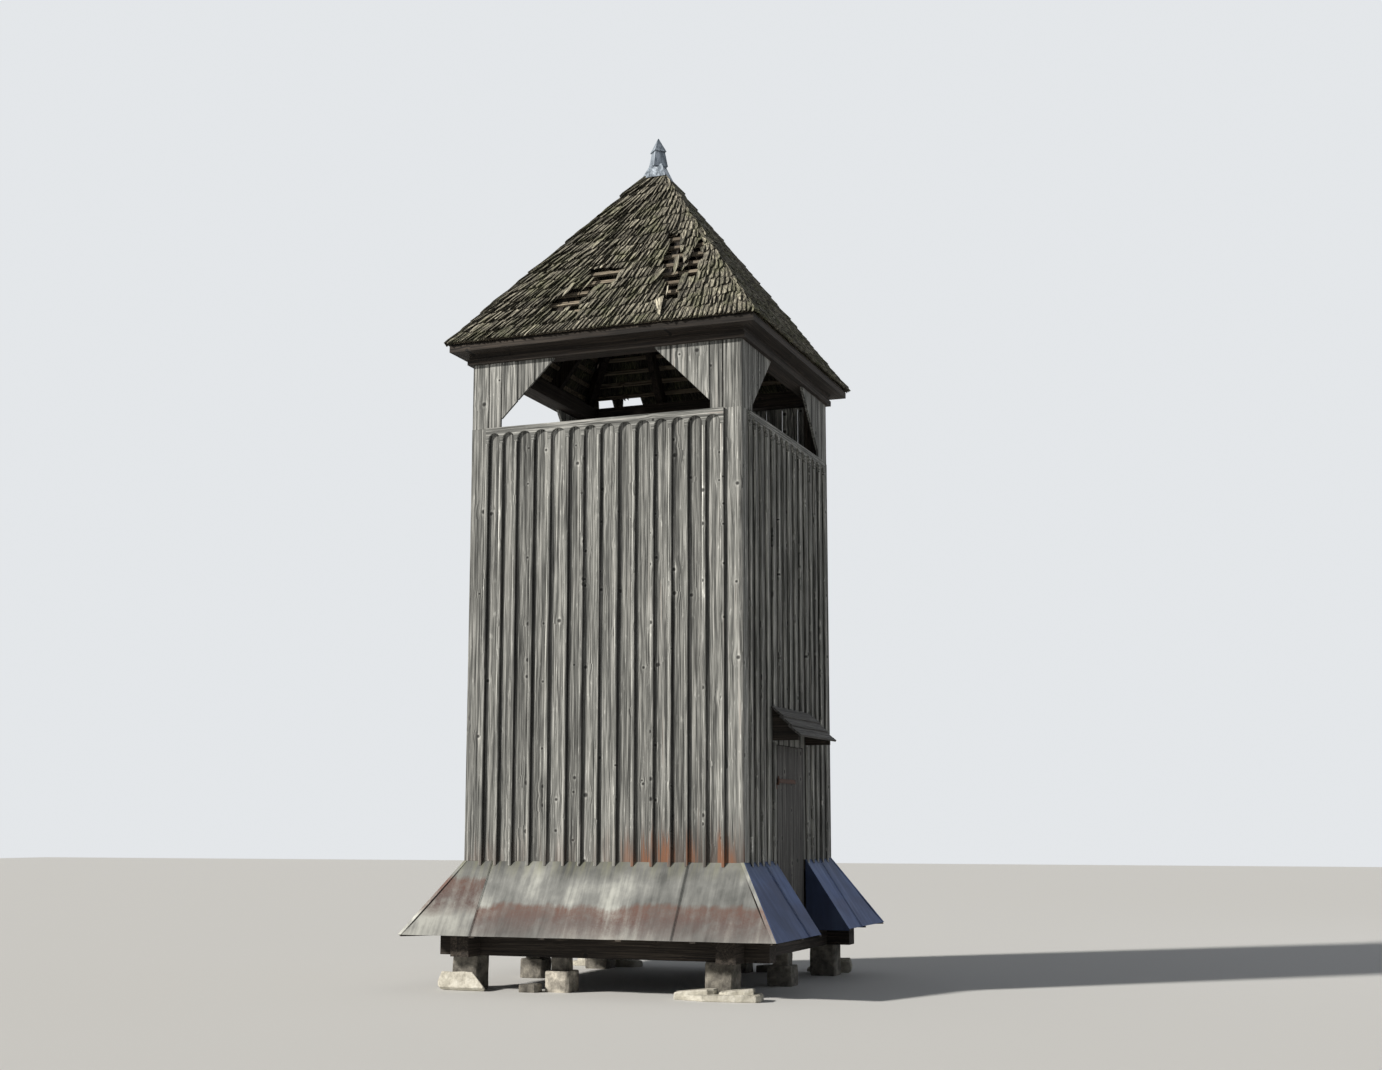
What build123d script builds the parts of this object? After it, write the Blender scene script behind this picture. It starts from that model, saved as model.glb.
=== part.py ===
from build123d import *
import os
from math import atan, cos, degrees, radians, sin, sqrt, tan

os.makedirs("parts", exist_ok=True)

# The tower stands with the middle of its base on the origin, in millimetres.
# Its front faces -Y, its door side faces +X, and +Z is up.

# Tower body
tower_width = 3000  # across the outer faces of the wall boards, the same on every side
board_thickness = 28
post_size = 180
girt_thickness = 100
girt_height = 150
mid_girt_height = 3450  # middle of the girts halfway up
corner_seat = 0.3  # running gap between pieces that only meet edge to face

# Heights
ground_clearance = 335  # underside of the sill beams
sill_height = 200
boards_bottom = 1270
opening_sill = 5735
opening_height = 695

# Sill frame and feet
sill_width = 200
sill_projection = 250  # beam ends beyond the boards' face
corner_pad_size = 300
mid_pad_size = 280
mid_pad_height = 205
mid_pad_offset = 440
corner_pad_inset = 250
end_pad_inset = 50  # pads front left and back right, under the beams' ends
packer_size = 180
slab_height = 90
slab_depth = 330
slab_width = 765
leaning_slab_width = 470
leaning_slab_foot = 120  # from the pad's face to the slab's lower edge
leaning_slab_rise = 150
slab_thickness = 55
floor_thickness = 40
joist_size = 100
joist_count = 3

# Belfry openings
opening_half_width = 1160
opening_jamb = 90
opening_slant = 45  # degrees from level

# Battens and the scalloped sill boards
board_pattern = (
    (1.04, 0.88, 0.89, 1.04, 1.01, 1.08, 0.91, 0.96)
    + (1.07, 1.00, 1.07, 1.01, 0.93, 1.00, 1.02, 1.08)
)  # relative widths, from left to right
batten_width = 36
batten_thickness = 30
scallop_band = 62  # solid wood above the arches
scallop_drop = 22  # straight side of each arch below its round

# Top plates
plate_width = 200
plate_height = 170
plate_projection = 30
plate_moulding = 15
plate_moulding_height = 58

# Roof
eave_overhang = 220
eave_rise = 40  # from the plates' tops to the upper edges of the shingles at the eaves
roof_rise = 2360  # from there to the apex
shingle_depth = 45  # from the butts' upper edges to the laths
butt_step = 16  # how far each course's butts stand over the course below
lath_depth = 25
lath_width = 50
course_step = 157
rafter_depth = 140
rafter_width = 80
jack_offset = 560
king_post_size = 130
king_post_drop = 950  # from the apex to the post's lower end
fascia_thickness = 20
fascia_drop = 95  # below the upper edges of the shingles at the eaves
fascia_inset = 35
soffit_thickness = 18

# Metal cap
cap_skirt_half = 135
cap_neck_half = 70
cap_neck_drop = 15  # below the apex
cap_tuck = 20  # how far the spire comes down over the neck
cap_spire_radius = 118
cap_waist_radius = 80
cap_shoulder_radius = 100
cap_lower_tier = 165  # from the neck to the shoulder
cap_upper_tier = 160  # from the shoulder to the tip
cap_sheet = 4

# Apron round the base
apron_reach = 480
apron_drop = 730
apron_sheet = 5
apron_rafter_depth = 70
apron_rafter_width = 60
apron_strut_height = 60
apron_strut_seat = 170
apron_rafter_inset = 142  # from a corner post to the middle of the next rafter
apron_rafter_spacing = 800  # between the two middle ones

# Door and canopy
door_half_width = 450
door_head = 2440
door_gap = 8
door_sill_gap = 12
door_stop = 25
door_stop_gap = 5
jamb_width = 120
ledge_height = 120
ledge_thickness = 30
ledge_inset = 42
apron_gap_half = 515
hinge_pin_radius = 8
hinge_pin_length = 90
hinge_arm = 20
hinge_eye_wall = 6
hinge_play = 0.3
hinge_offset = 12
strap_length = 620
strap_width = 44
strap_thickness = 8
strap_inset = 360  # from the leaf's ends to the straps' middles
pintle_plate = 40
canopy_half = 650
canopy_reach = 290
canopy_rise = 365  # from the door's head to the canopy's top
canopy_drop = 310
canopy_board = 22
canopy_boards = 3
canopy_lap = 30
canopy_bracket = 40
canopy_bracket_inset = 90

# Sizes that follow from the ones above
half = tower_width / 2
boards_top = opening_sill + opening_height
frame_face = half - board_thickness  # outer faces of posts and girts
sill_top = ground_clearance + sill_height
sill_end = half + sill_projection
sill_inner = half - sill_width
plate_face = half + plate_projection
plate_inner = plate_face - plate_width
plate_top = boards_top + plate_height
post_inner = frame_face - post_size
opening_head = opening_sill + opening_jamb
opening_top_half = opening_half_width - (boards_top - opening_head) / tan(radians(opening_slant))
eave_half = half + eave_overhang
eave_height = plate_top + eave_rise
roof_apex = eave_height + roof_rise
fascia_bottom = eave_height - fascia_drop
canopy_top = door_head + canopy_rise
roof_slope = (roof_apex - eave_height) / eave_half
roof_angle = atan(roof_slope)
king_post_bottom = roof_apex - king_post_drop
cap_neck_height = roof_apex - cap_neck_drop
cap_shoulder_height = cap_neck_height + cap_lower_tier
cap_tip = cap_shoulder_height + cap_upper_tier
apron_slope = apron_drop / apron_reach
apron_angle = atan(apron_slope)
apron_edge = half + apron_reach
apron_under = apron_sheet / cos(apron_angle)
root2 = sqrt(2)
beyond = apron_edge * 2  # longer than anything it cuts

front, right, back, left = 0, 90, 180, 270
sides = (front, right, back, left)


def face_plane(side, out, height=0):
    """Plane of one side, facing outwards, with X to the right as seen from outside and Y up"""
    a = radians(side)
    origin = (out * sin(a), -out * cos(a), height)
    return Plane(origin=origin, x_dir=(cos(a), sin(a), 0), z_dir=(sin(a), -cos(a), 0))


def section_plane(side, along=0):
    """Upright plane across one side, with X pointing outwards and Y up"""
    a = radians(side)
    origin = (along * cos(a), along * sin(a), 0)
    return Plane(origin=origin, x_dir=(sin(a), -cos(a), 0), z_dir=(-cos(a), -sin(a), 0))


def timber(x0, x1, y0, y1, z0, z1):
    """Squared timber between two corners, inside the part in hand"""
    with Locations(((x0 + x1) / 2, (y0 + y1) / 2, (z0 + z1) / 2)):
        Box(x1 - x0, y1 - y0, z1 - z0)


def side_timber(side, x0, x1, out0, out1, z0, z1):
    """Squared timber along one side: x runs along the side, out is the distance from the middle"""
    with BuildSketch(face_plane(side, out1)) as profile:
        with Locations(((x0 + x1) / 2, (z0 + z1) / 2)):
            Rectangle(x1 - x0, z1 - z0)
    extrude(profile.sketch, amount=-(out1 - out0))


def mitre(side, inset=0):
    """Keeps what lies between the two hips of one side, set back from them by the inset"""
    with BuildSketch(Plane.XY.rotated((0, 0, side))) as sector:
        Polygon((0, -inset), (beyond, -inset - beyond), (-beyond, -inset - beyond))
    extrude(sector.sketch, amount=cap_tip, mode=Mode.INTERSECT)


def mitred_side(side, *points, inset=0):
    """Carries an outline of (out, height) points along one side and mitres its ends at the hips"""
    with BuildSketch(section_plane(side)) as profile:
        Polygon(*points)
    extrude(profile.sketch, amount=beyond, both=True)
    mitre(side, inset)


def save(name, part):
    """Names a finished piece and writes it"""
    part.label = name
    export_step(part, f"parts/{name}.step")


def side_name(side):
    """Word for one of the four sides"""
    return {front: "front", right: "right", back: "back", left: "left"}[side]


def roof_line(depth, out):
    """Height of a surface a given depth under the shingles' faces, at a distance from the middle"""
    return roof_apex - depth / cos(roof_angle) - roof_slope * out


def roof_reach(depth, height):
    """Distance from the middle at which that surface has the given height"""
    return (roof_apex - depth / cos(roof_angle) - height) / roof_slope


def apron_line(out):
    """Height of the apron's upper face"""
    return boards_bottom - apron_slope * (out - half)


def joints_along():
    """Board joints along a wall, as distances from its middle"""
    total = sum(board_pattern)
    edges = []
    run = 0
    for share in board_pattern[:-1]:
        run += share
        edges.append(-half + tower_width * run / total)
    return edges


batten_lines = joints_along()

# Feet: stone pads under the sill frame
pad_line = half - sill_width / 2
pad_corner = half - corner_pad_inset
pad_end = half - end_pad_inset

with BuildPart() as foundation_stones:
    for x, y in ((-pad_end, -pad_line), (pad_corner, -pad_line), (pad_end, pad_line), (-pad_corner, pad_line)):
        with Locations((x, y, ground_clearance / 2)):
            Box(corner_pad_size, corner_pad_size, ground_clearance)
    for x, y in ((-mid_pad_offset, -pad_line), (mid_pad_offset, pad_line), (-pad_line, 0), (pad_line, 0)):
        with Locations((x, y, mid_pad_height / 2)):
            Box(mid_pad_size, mid_pad_size, mid_pad_height)
        with Locations((x, y, (mid_pad_height + ground_clearance) / 2)):
            Box(packer_size, packer_size, ground_clearance - mid_pad_height)
save("foundation_stones", foundation_stones.part)

# Broken slabs at the front and back pads: one leans on the pad at the beams' end, one lies against the other
slab_face = pad_line + corner_pad_size / 2 + corner_seat
leaning_slab_length = sqrt(leaning_slab_foot**2 + leaning_slab_rise**2)
leaning_slab_plane = Plane(
    origin=(-pad_end, -slab_face - leaning_slab_foot, 0),
    x_dir=(1, 0, 0),
    z_dir=(0, -leaning_slab_rise, leaning_slab_foot),
)

with BuildPart() as front_slabs:
    with BuildSketch(leaning_slab_plane):
        Polygon(
            (-leaning_slab_width * 0.32, 0),
            (leaning_slab_width * 0.47, 0),
            (leaning_slab_width * 0.5, leaning_slab_length * 0.3),
            (leaning_slab_width * 0.27, leaning_slab_length),
            (-leaning_slab_width * 0.5, leaning_slab_length),
            (-leaning_slab_width * 0.5, leaning_slab_length * 0.4),
        )
    extrude(amount=slab_thickness)
    with BuildSketch():
        with Locations((pad_corner, -slab_face)):
            Polygon(
                (-slab_width * 0.5, 0),
                (slab_width * 0.5, 0),
                (slab_width * 0.6, -slab_depth * 0.5),
                (slab_width * 0.2, -slab_depth),
                (-slab_width * 0.4, -slab_depth * 0.75),
            )
    extrude(amount=slab_height)

with BuildPart() as foot_slabs:
    with PolarLocations(0, 2):
        add(front_slabs.part)
save("foot_slabs", foot_slabs.part)

# Sill frame: the long beams lie front and back, the cross beams are halved over them
lap = sill_height / 2
with BuildPart() as sill_beams_long:
    for y in (-pad_line, pad_line):
        timber(-sill_end, sill_end, y - sill_width / 2, y + sill_width / 2, ground_clearance, sill_top)
    for x in (-pad_line, pad_line):
        with Locations((x, 0, sill_top - lap / 2)):
            Box(sill_width, tower_width * 2, lap, mode=Mode.SUBTRACT)
save("sill_beams_long", sill_beams_long.part)

with BuildPart() as sill_beams_cross:
    for x in (-pad_line, pad_line):
        timber(x - sill_width / 2, x + sill_width / 2, -sill_end, sill_end, ground_clearance, sill_top)
    for y in (-pad_line, pad_line):
        with Locations((0, y, ground_clearance + lap / 2)):
            Box(tower_width * 2, sill_width, lap, mode=Mode.SUBTRACT)
save("sill_beams_cross", sill_beams_cross.part)

# Floor between the sills, on joists
with BuildPart() as floor_boards:
    timber(-sill_inner, sill_inner, -sill_inner, sill_inner, sill_top - floor_thickness, sill_top)
save("floor_boards", floor_boards.part)

joist_top = sill_top - floor_thickness
with BuildPart() as floor_joists:
    for i in range(joist_count):
        x0 = sill_inner * (2 * (i + 1) / (joist_count + 1) - 1) - joist_size / 2
        timber(x0, x0 + joist_size, -sill_inner, sill_inner, joist_top - joist_size, joist_top)
save("floor_joists", floor_joists.part)

# Corner posts
post_line = frame_face - post_size / 2
with BuildPart() as corner_posts:
    with GridLocations(post_line * 2, post_line * 2, 2, 2):
        with Locations((0, 0, (sill_top + boards_top) / 2)):
            Box(post_size, post_size, boards_top - sill_top)
save("corner_posts", corner_posts.part)

# Girts between the posts: low, halfway up and, on the door side, over the door
girt_inner = frame_face - girt_thickness
jamb_outer = door_half_width - door_stop + jamb_width
low_girt = (boards_bottom - girt_height / 2, boards_bottom + girt_height / 2)
mid_girt = (mid_girt_height - girt_height / 2, mid_girt_height + girt_height / 2)
door_girt = (door_head, door_head + girt_height)
sill_rail = (opening_sill - girt_height, opening_sill)

with BuildPart() as wall_girts:
    for side in sides:
        side_timber(side, -post_inner, post_inner, girt_inner, frame_face, *mid_girt)
        if side == right:
            side_timber(side, -post_inner, -jamb_outer, girt_inner, frame_face, *low_girt)
            side_timber(side, jamb_outer, post_inner, girt_inner, frame_face, *low_girt)
            side_timber(side, -post_inner, post_inner, girt_inner, frame_face, *door_girt)
        else:
            side_timber(side, -post_inner, post_inner, girt_inner, frame_face, *low_girt)
save("wall_girts", wall_girts.part)

with BuildPart() as opening_sill_rails:
    for side in sides:
        side_timber(side, -post_inner, post_inner, girt_inner, frame_face, *sill_rail)
save("opening_sill_rails", opening_sill_rails.part)

# Door jambs stand on the sill and carry the girt over the door
with BuildPart() as door_jambs:
    for x0 in (door_half_width - door_stop, -jamb_outer):
        side_timber(right, x0, x0 + jamb_width, girt_inner, frame_face, sill_top, door_head)
save("door_jambs", door_jambs.part)


# Walls of upright boards, up to the sill of the belfry openings
def wall_reach(side):
    """Half the length of a wall: the front and back cover the ends of the others"""
    return half if side in (front, back) else frame_face


for side in (front, back, left):
    with BuildPart() as wall:
        side_timber(side, -wall_reach(side), wall_reach(side), frame_face, half, boards_bottom, opening_sill)
    save(f"{side_name(side)}_wall", wall.part)

with BuildPart() as right_wall:
    side_timber(right, -frame_face, -door_half_width, frame_face, half, boards_bottom, opening_sill)
    side_timber(right, door_half_width, frame_face, frame_face, half, boards_bottom, opening_sill)
save("right_wall", right_wall.part)

with BuildPart() as right_wall_over_door:
    side_timber(right, -door_half_width, door_half_width, frame_face, half, door_head, opening_sill)
save("right_wall_over_door", right_wall_over_door.part)

# Boards beside the belfry openings, cut to the slanting heads
for name, pair in (("belfry_boards_front_back", (front, back)), ("belfry_boards_left_right", (left, right))):
    with BuildPart() as belfry_boards:
        for side in pair:
            with BuildSketch(face_plane(side, half)):
                with Locations((0, (opening_sill + boards_top) / 2)):
                    Rectangle(2 * wall_reach(side), boards_top - opening_sill)
                Polygon(
                    (-opening_half_width, opening_sill),
                    (-opening_half_width, opening_head),
                    (-opening_top_half, boards_top),
                    (opening_top_half, boards_top),
                    (opening_half_width, opening_head),
                    (opening_half_width, opening_sill),
                    mode=Mode.SUBTRACT,
                )
            extrude(amount=-board_thickness)
    save(name, belfry_boards.part)

# Scalloped board under each opening: one blind arch between each two battens
scallop_half_gaps = [(b - a - batten_width) / 2 for a, b in zip(batten_lines, batten_lines[1:])]
springing = opening_sill - scallop_band - max(scallop_half_gaps)
scallop_bottom = springing - scallop_drop

with BuildPart() as scalloped_boards:
    for side in sides:
        start = batten_lines[0] - batten_width / 2
        end = batten_lines[-1] + batten_width / 2
        with BuildSketch(face_plane(side, half)):
            with Locations(((start + end) / 2, (scallop_bottom + opening_sill) / 2)):
                Rectangle(end - start, opening_sill - scallop_bottom)
            for a, b in zip(batten_lines, batten_lines[1:]):
                arch = (b - a - batten_width) / 2
                top = opening_sill - scallop_band - arch
                with Locations(((a + b) / 2, top)):
                    Circle(arch, mode=Mode.SUBTRACT)
                with Locations(((a + b) / 2, (scallop_bottom + top) / 2)):
                    Rectangle(2 * arch, top - scallop_bottom, mode=Mode.SUBTRACT)
        extrude(amount=batten_thickness)
save("scalloped_boards", scalloped_boards.part)

# Battens over the board joints, their feet cut to lie on the apron
door_clear = door_half_width + pintle_plate + 2 * hinge_offset
over_canopy = canopy_top + canopy_board


def batten_spans(side, x):
    """Lower and upper ends of the battens on one joint line"""
    foot = apron_line(half) - apron_slope * batten_thickness
    if side != right or abs(x) > canopy_half + batten_width:
        return [(foot, scallop_bottom)]
    if abs(x) > door_clear:
        return [(foot, canopy_top - canopy_drop - canopy_bracket), (over_canopy, scallop_bottom)]
    return [(over_canopy, scallop_bottom)]


for name, pair in (("battens_front_back", (front, back)), ("battens_left_right", (left, right))):
    with BuildPart() as battens:
        for side in pair:
            for x in batten_lines:
                x0 = x - batten_width / 2
                for z0, z1 in batten_spans(side, x):
                    side_timber(side, x0, x0 + batten_width, half, half + batten_thickness, z0, z1)
            with BuildSketch(section_plane(side)):
                Polygon(
                    (half, apron_line(half) + corner_seat),
                    (apron_edge, apron_line(apron_edge) + corner_seat),
                    (apron_edge, sill_top),
                    (half, sill_top),
                )
            extrude(amount=half, both=True, mode=Mode.SUBTRACT)
    save(name, battens.part)

# Top plates, with a small moulding along their lower edge
for name, side in (("top_plates_long", front), ("top_plates_cross", right)):
    with BuildPart() as plate:
        mitred_side(
            side,
            (plate_inner, boards_top),
            (plate_face + plate_moulding, boards_top),
            (plate_face + plate_moulding, boards_top + plate_moulding_height),
            (plate_face, boards_top + plate_moulding_height),
            (plate_face, plate_top),
            (plate_inner, plate_top),
        )
    with BuildPart() as plates:
        with PolarLocations(0, 2):
            add(plate.part)
    save(name, plates.part)

# Boxed eaves: a soffit out from the plate and a fascia behind the shingles' butts
fascia_out = eave_half - fascia_inset
fascia_in = fascia_out - fascia_thickness
for name, side in (("eave_boards_front_back", front), ("eave_boards_left_right", right)):
    with BuildPart() as eave:
        mitred_side(
            side,
            (plate_face, fascia_bottom),
            (fascia_out, fascia_bottom),
            (fascia_out, roof_line(shingle_depth, fascia_out)),
            (fascia_in, roof_line(shingle_depth, fascia_in)),
            (fascia_in, fascia_bottom + soffit_thickness),
            (plate_face, fascia_bottom + soffit_thickness),
        )
    with BuildPart() as eaves:
        with PolarLocations(0, 2):
            add(eave.part)
    save(name, eaves.part)

# King post: square, turned so that each face meets a hip rafter
deck_depth = shingle_depth + lath_depth  # upper faces of the rafters
king_post_top = roof_line(deck_depth, king_post_size / root2)

with BuildPart() as king_post:
    with BuildSketch(Plane.XY.offset(king_post_bottom)):
        Rectangle(king_post_size, king_post_size, rotation=45)
    extrude(amount=king_post_top - king_post_bottom)
save("king_post", king_post.part)


# Hip rafters, seated on the corners of the plates and butted against the king post
def hip_line(depth, diagonal):
    """Height of a surface along a hip, low enough to clear both slopes at the rafter's edges"""
    return roof_line(depth, (diagonal + rafter_width / 2) / root2)


hip_foot = plate_face * root2
hip_tail = (fascia_in - rafter_width) * root2
hip_seat = hip_foot - 60
hip_depth = (hip_line(deck_depth, hip_seat) - plate_top) * cos(roof_angle)
hip_head = king_post_size / 2
soffit_top = fascia_bottom + soffit_thickness

with BuildPart() as hip_rafters:
    for side in sides:
        with BuildSketch(section_plane(side + 45)):
            Polygon(
                (hip_head, hip_line(deck_depth, hip_head)),
                (hip_tail, hip_line(deck_depth, hip_tail)),
                (hip_tail, soffit_top),
                (hip_foot, soffit_top),
                (hip_foot, plate_top),
                (hip_seat, plate_top),
                (hip_head, hip_line(deck_depth + hip_depth, hip_head)),
            )
        extrude(amount=rafter_width / 2, both=True)
save("hip_rafters", hip_rafters.part)

# Jack rafters, from the eaves up to the hips
jack_seat = roof_reach(deck_depth + rafter_depth, plate_top)
jack_tail = fascia_in - corner_seat
hip_clear = (rafter_width / 2 + corner_seat) * root2

with BuildPart() as jack_pair:
    for x in (-jack_offset, jack_offset):
        with BuildSketch(section_plane(front, x)):
            Polygon(
                (0, roof_line(deck_depth, 0)),
                (jack_tail, roof_line(deck_depth, jack_tail)),
                (jack_tail, soffit_top),
                (plate_face, soffit_top),
                (plate_face, plate_top),
                (jack_seat, plate_top),
                (0, roof_line(deck_depth + rafter_depth, 0)),
            )
        extrude(amount=rafter_width / 2, both=True)
    mitre(front, hip_clear)

with BuildPart() as jack_rafters:
    with PolarLocations(0, len(sides)):
        add(jack_pair.part)
save("jack_rafters", jack_rafters.part)

# Laths across the rafters, one for each course of shingles
slope_length = (roof_apex - eave_height) / sin(roof_angle)
course_count = int((slope_length - cap_skirt_half) / course_step)
lath_run = lath_width * cos(roof_angle)
lath_set = lath_depth * sin(roof_angle)

with BuildPart() as front_laths:
    for i in range(course_count):
        upper = fascia_in - corner_seat - course_step * i * cos(roof_angle)
        with BuildSketch(section_plane(front)):
            Polygon(
                (upper, roof_line(shingle_depth, upper)),
                (upper - lath_run, roof_line(shingle_depth, upper - lath_run)),
                (upper - lath_run - lath_set, roof_line(deck_depth, upper - lath_run - lath_set)),
                (upper - lath_set, roof_line(deck_depth, upper - lath_set)),
            )
        extrude(amount=beyond, both=True)
    mitre(front, corner_seat)

with BuildPart() as roof_laths:
    with PolarLocations(0, len(sides)):
        add(front_laths.part)
save("roof_laths", roof_laths.part)

# Shingled slopes, with the holes that the weather has left
front_holes = (
    ((-350, 1060), (0, 1030), (20, 850), (-40, 720), (-270, 750)),
    ((-500, 740), (-215, 700), (-245, 555), (-515, 585)),
    ((-650, 525), (-495, 515), (-475, 360), (-615, 365)),
    ((-415, 465), (-325, 465), (-290, 310), (-375, 325)),
    ((450, 1540), (590, 1515), (670, 1055), (770, 770), (775, 620), (585, 660), (490, 1000), (540, 1080)),
    ((800, 1380), (860, 1370), (915, 1060), (920, 680), (830, 700), (785, 1020), (855, 1070)),
    ((615, 515), (785, 505), (800, 335), (635, 350)),
)
back_holes = (
    ((1225, 580), (1410, 590), (1340, 445)),
    ((1225, 205), (1330, 215), (1440, 180), (1420, 75), (1290, 60)),
    ((850, 225), (1000, 205), (1120, 130), (1010, 60), (870, 70)),
)
slope_holes = {front: front_holes, right: (), back: back_holes, left: ()}


def slope_plane(side):
    """Plane on the upper faces of the shingles, from the middle of the eaves, with Y up the slope"""
    a = radians(side)
    origin = (eave_half * sin(a), -eave_half * cos(a), eave_height)
    normal = (sin(roof_angle) * sin(a), -sin(roof_angle) * cos(a), cos(roof_angle))
    return Plane(origin=origin, x_dir=(cos(a), sin(a), 0), z_dir=normal)


def course_line():
    """Stepped upper outline of a slope, from the eaves to the last butt below the cap"""
    points = []
    out = eave_half
    upper = out - course_step * cos(roof_angle) - butt_step * sin(roof_angle)
    while upper > cap_skirt_half:
        points.append((out, roof_line(0, out)))
        points.append((upper, roof_line(butt_step, upper)))
        out = upper + butt_step * sin(roof_angle)
        upper = out - course_step * cos(roof_angle) - butt_step * sin(roof_angle)
    points.append((out, roof_line(0, out)))
    return points


butt_out = eave_half - shingle_depth * sin(roof_angle)
for side in sides:
    with BuildPart() as slope:
        mitred_side(
            side,
            (0, roof_apex),
            (0, roof_line(shingle_depth, 0)),
            (butt_out, roof_line(shingle_depth, butt_out)),
            *course_line(),
        )
        for hole in slope_holes[side]:
            with BuildSketch(slope_plane(side)):
                Polygon(*hole)
            extrude(amount=shingle_depth * 2, both=True, mode=Mode.SUBTRACT)
    save(f"roof_{side_name(side)}", slope.part)

# Metal cap: a skirt over the tops of the hips and a folded spire in two tiers
cap_gap = corner_seat / cos(roof_angle)
skirt_foot = roof_line(0, cap_skirt_half) + cap_gap


def frustum(low, high, turn=0, mode=Mode.ADD):
    """Square frustum round the tower's axis, between two (half width, height) pairs"""
    rise = high[1] - low[1]
    with BuildSketch(Plane.XY.offset(low[1])) as foot:
        Rectangle(2 * low[0], 2 * low[0], rotation=turn)
    extrude(foot.sketch, amount=rise, taper=degrees(atan((low[0] - high[0]) / rise)), mode=mode)


skirt = ((cap_skirt_half + cap_sheet, skirt_foot), (cap_neck_half, cap_neck_height))
skirt_hollow = ((cap_skirt_half, skirt_foot), (corner_seat, roof_line(0, corner_seat) + cap_gap))
lower_tier = (
    (cap_spire_radius / root2, cap_neck_height - cap_tuck),
    (cap_waist_radius / root2, cap_shoulder_height),
)
upper_tier = (
    (cap_shoulder_radius / root2, cap_shoulder_height - cap_sheet),
    (cap_sheet, cap_tip),
)

with BuildPart() as roof_cap:
    frustum(*skirt)
    frustum(*lower_tier, turn=45)
    frustum(*upper_tier, turn=45)
    frustum(*skirt_hollow, mode=Mode.SUBTRACT)
save("roof_cap", roof_cap.part)

# Apron: sloping sheets round the base, carried on brackets that stand on the sill
apron_foot = apron_line(apron_edge) - apron_under
for side in (front, back, left):
    with BuildPart() as apron:
        mitred_side(
            side,
            (half, boards_bottom),
            (apron_edge, apron_line(apron_edge)),
            (apron_edge, apron_foot),
            (half, boards_bottom - apron_under),
        )
    save(f"apron_{side_name(side)}", apron.part)

# The apron stops beside the door, where a cheek closes each end
cheek_tip = half + (boards_bottom - apron_under - sill_top) / apron_slope
with BuildPart() as apron_right:
    mitred_side(
        right,
        (half, boards_bottom),
        (apron_edge, apron_line(apron_edge)),
        (apron_edge, apron_foot),
        (half, boards_bottom - apron_under),
    )
    with Locations((half + apron_reach / 2, 0, boards_bottom - apron_drop / 2)):
        Box(apron_reach * 2, apron_gap_half * 2, apron_drop * 2, mode=Mode.SUBTRACT)
    for along, thickness in ((-apron_gap_half, apron_sheet), (apron_gap_half, -apron_sheet)):
        with BuildSketch(section_plane(right, along)):
            Polygon((half, boards_bottom - apron_under), (cheek_tip, sill_top), (half, sill_top))
        extrude(amount=thickness)
save("apron_right", apron_right.part)


def apron_rafter(side, along, stretch=1, drop=0):
    """Rafter under the apron; a corner one is stretched along the diagonal and set lower"""
    top = boards_bottom - drop
    depth = apron_rafter_depth / cos(apron_angle)
    points = (
        (frame_face, top),
        (half - apron_under / apron_slope, top),
        (half + (top - apron_under - strut_top) / apron_slope, strut_top),
        (half + (top - apron_under - depth - strut_top) / apron_slope, strut_top),
        (frame_face, top - apron_under - depth + apron_slope * board_thickness),
    )
    with BuildSketch(section_plane(side, along)) as profile:
        Polygon(*[(out * stretch, height) for out, height in points])
    extrude(profile.sketch, amount=apron_rafter_width / 2, both=True)


def apron_strut(side, along, stretch=1, drop=0, heel=half - apron_strut_seat):
    """Strut that lies on the sill beam and carries the rafter's foot"""
    under = boards_bottom - drop - apron_under
    end = half + (under - sill_top - apron_sheet) / apron_slope
    points = (
        (heel, sill_top),
        (end, sill_top),
        (end, sill_top + apron_sheet),
        (half + (under - strut_top) / apron_slope, strut_top),
        (heel, strut_top),
    )
    with BuildSketch(section_plane(side, along)) as profile:
        Polygon(*[(out * stretch, height) for out, height in points])
    extrude(profile.sketch, amount=apron_rafter_width / 2, both=True)


strut_top = sill_top + apron_strut_height
hip_drop = apron_slope * apron_rafter_width / 2 / root2
outer_line = post_inner - apron_rafter_inset
middle_line = apron_rafter_spacing / 2
door_line = apron_gap_half + apron_sheet + apron_rafter_width / 2
rafter_lines = (-outer_line, -middle_line, middle_line, outer_line)
door_side_lines = (-outer_line, -door_line, door_line, outer_line)

with BuildPart() as apron_rafters:
    for side in sides:
        for along in door_side_lines if side == right else rafter_lines:
            apron_rafter(side, along)
        apron_rafter(side + 45, 0, stretch=root2, drop=hip_drop)
save("apron_rafters", apron_rafters.part)

with BuildPart() as apron_struts:
    for side in sides:
        for along in door_side_lines if side == right else rafter_lines:
            if abs(along) == door_line:
                apron_strut(side, along, heel=frame_face)
            else:
                apron_strut(side, along)
        apron_strut(side + 45, 0, stretch=root2, drop=hip_drop, heel=frame_face)
save("apron_struts", apron_struts.part)

# Door of upright boards on three ledges, hung flush with the wall
leaf_half = door_half_width - door_gap
leaf_bottom = sill_top + door_sill_gap
leaf_top = door_head - door_gap
leaf_inner = frame_face + door_stop_gap
ledge_half = door_half_width - ledge_inset
ledge_heights = (leaf_bottom + ledge_height, (leaf_bottom + leaf_top) / 2, leaf_top - ledge_height)

with BuildPart() as door_leaf:
    side_timber(right, -leaf_half, leaf_half, leaf_inner, half, leaf_bottom, leaf_top)
    for middle in ledge_heights:
        z0 = middle - ledge_height / 2
        z1 = middle + ledge_height / 2
        side_timber(right, -ledge_half, ledge_half, leaf_inner - ledge_thickness, leaf_inner, z0, z1)
save("door_leaf", door_leaf.part)

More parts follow.
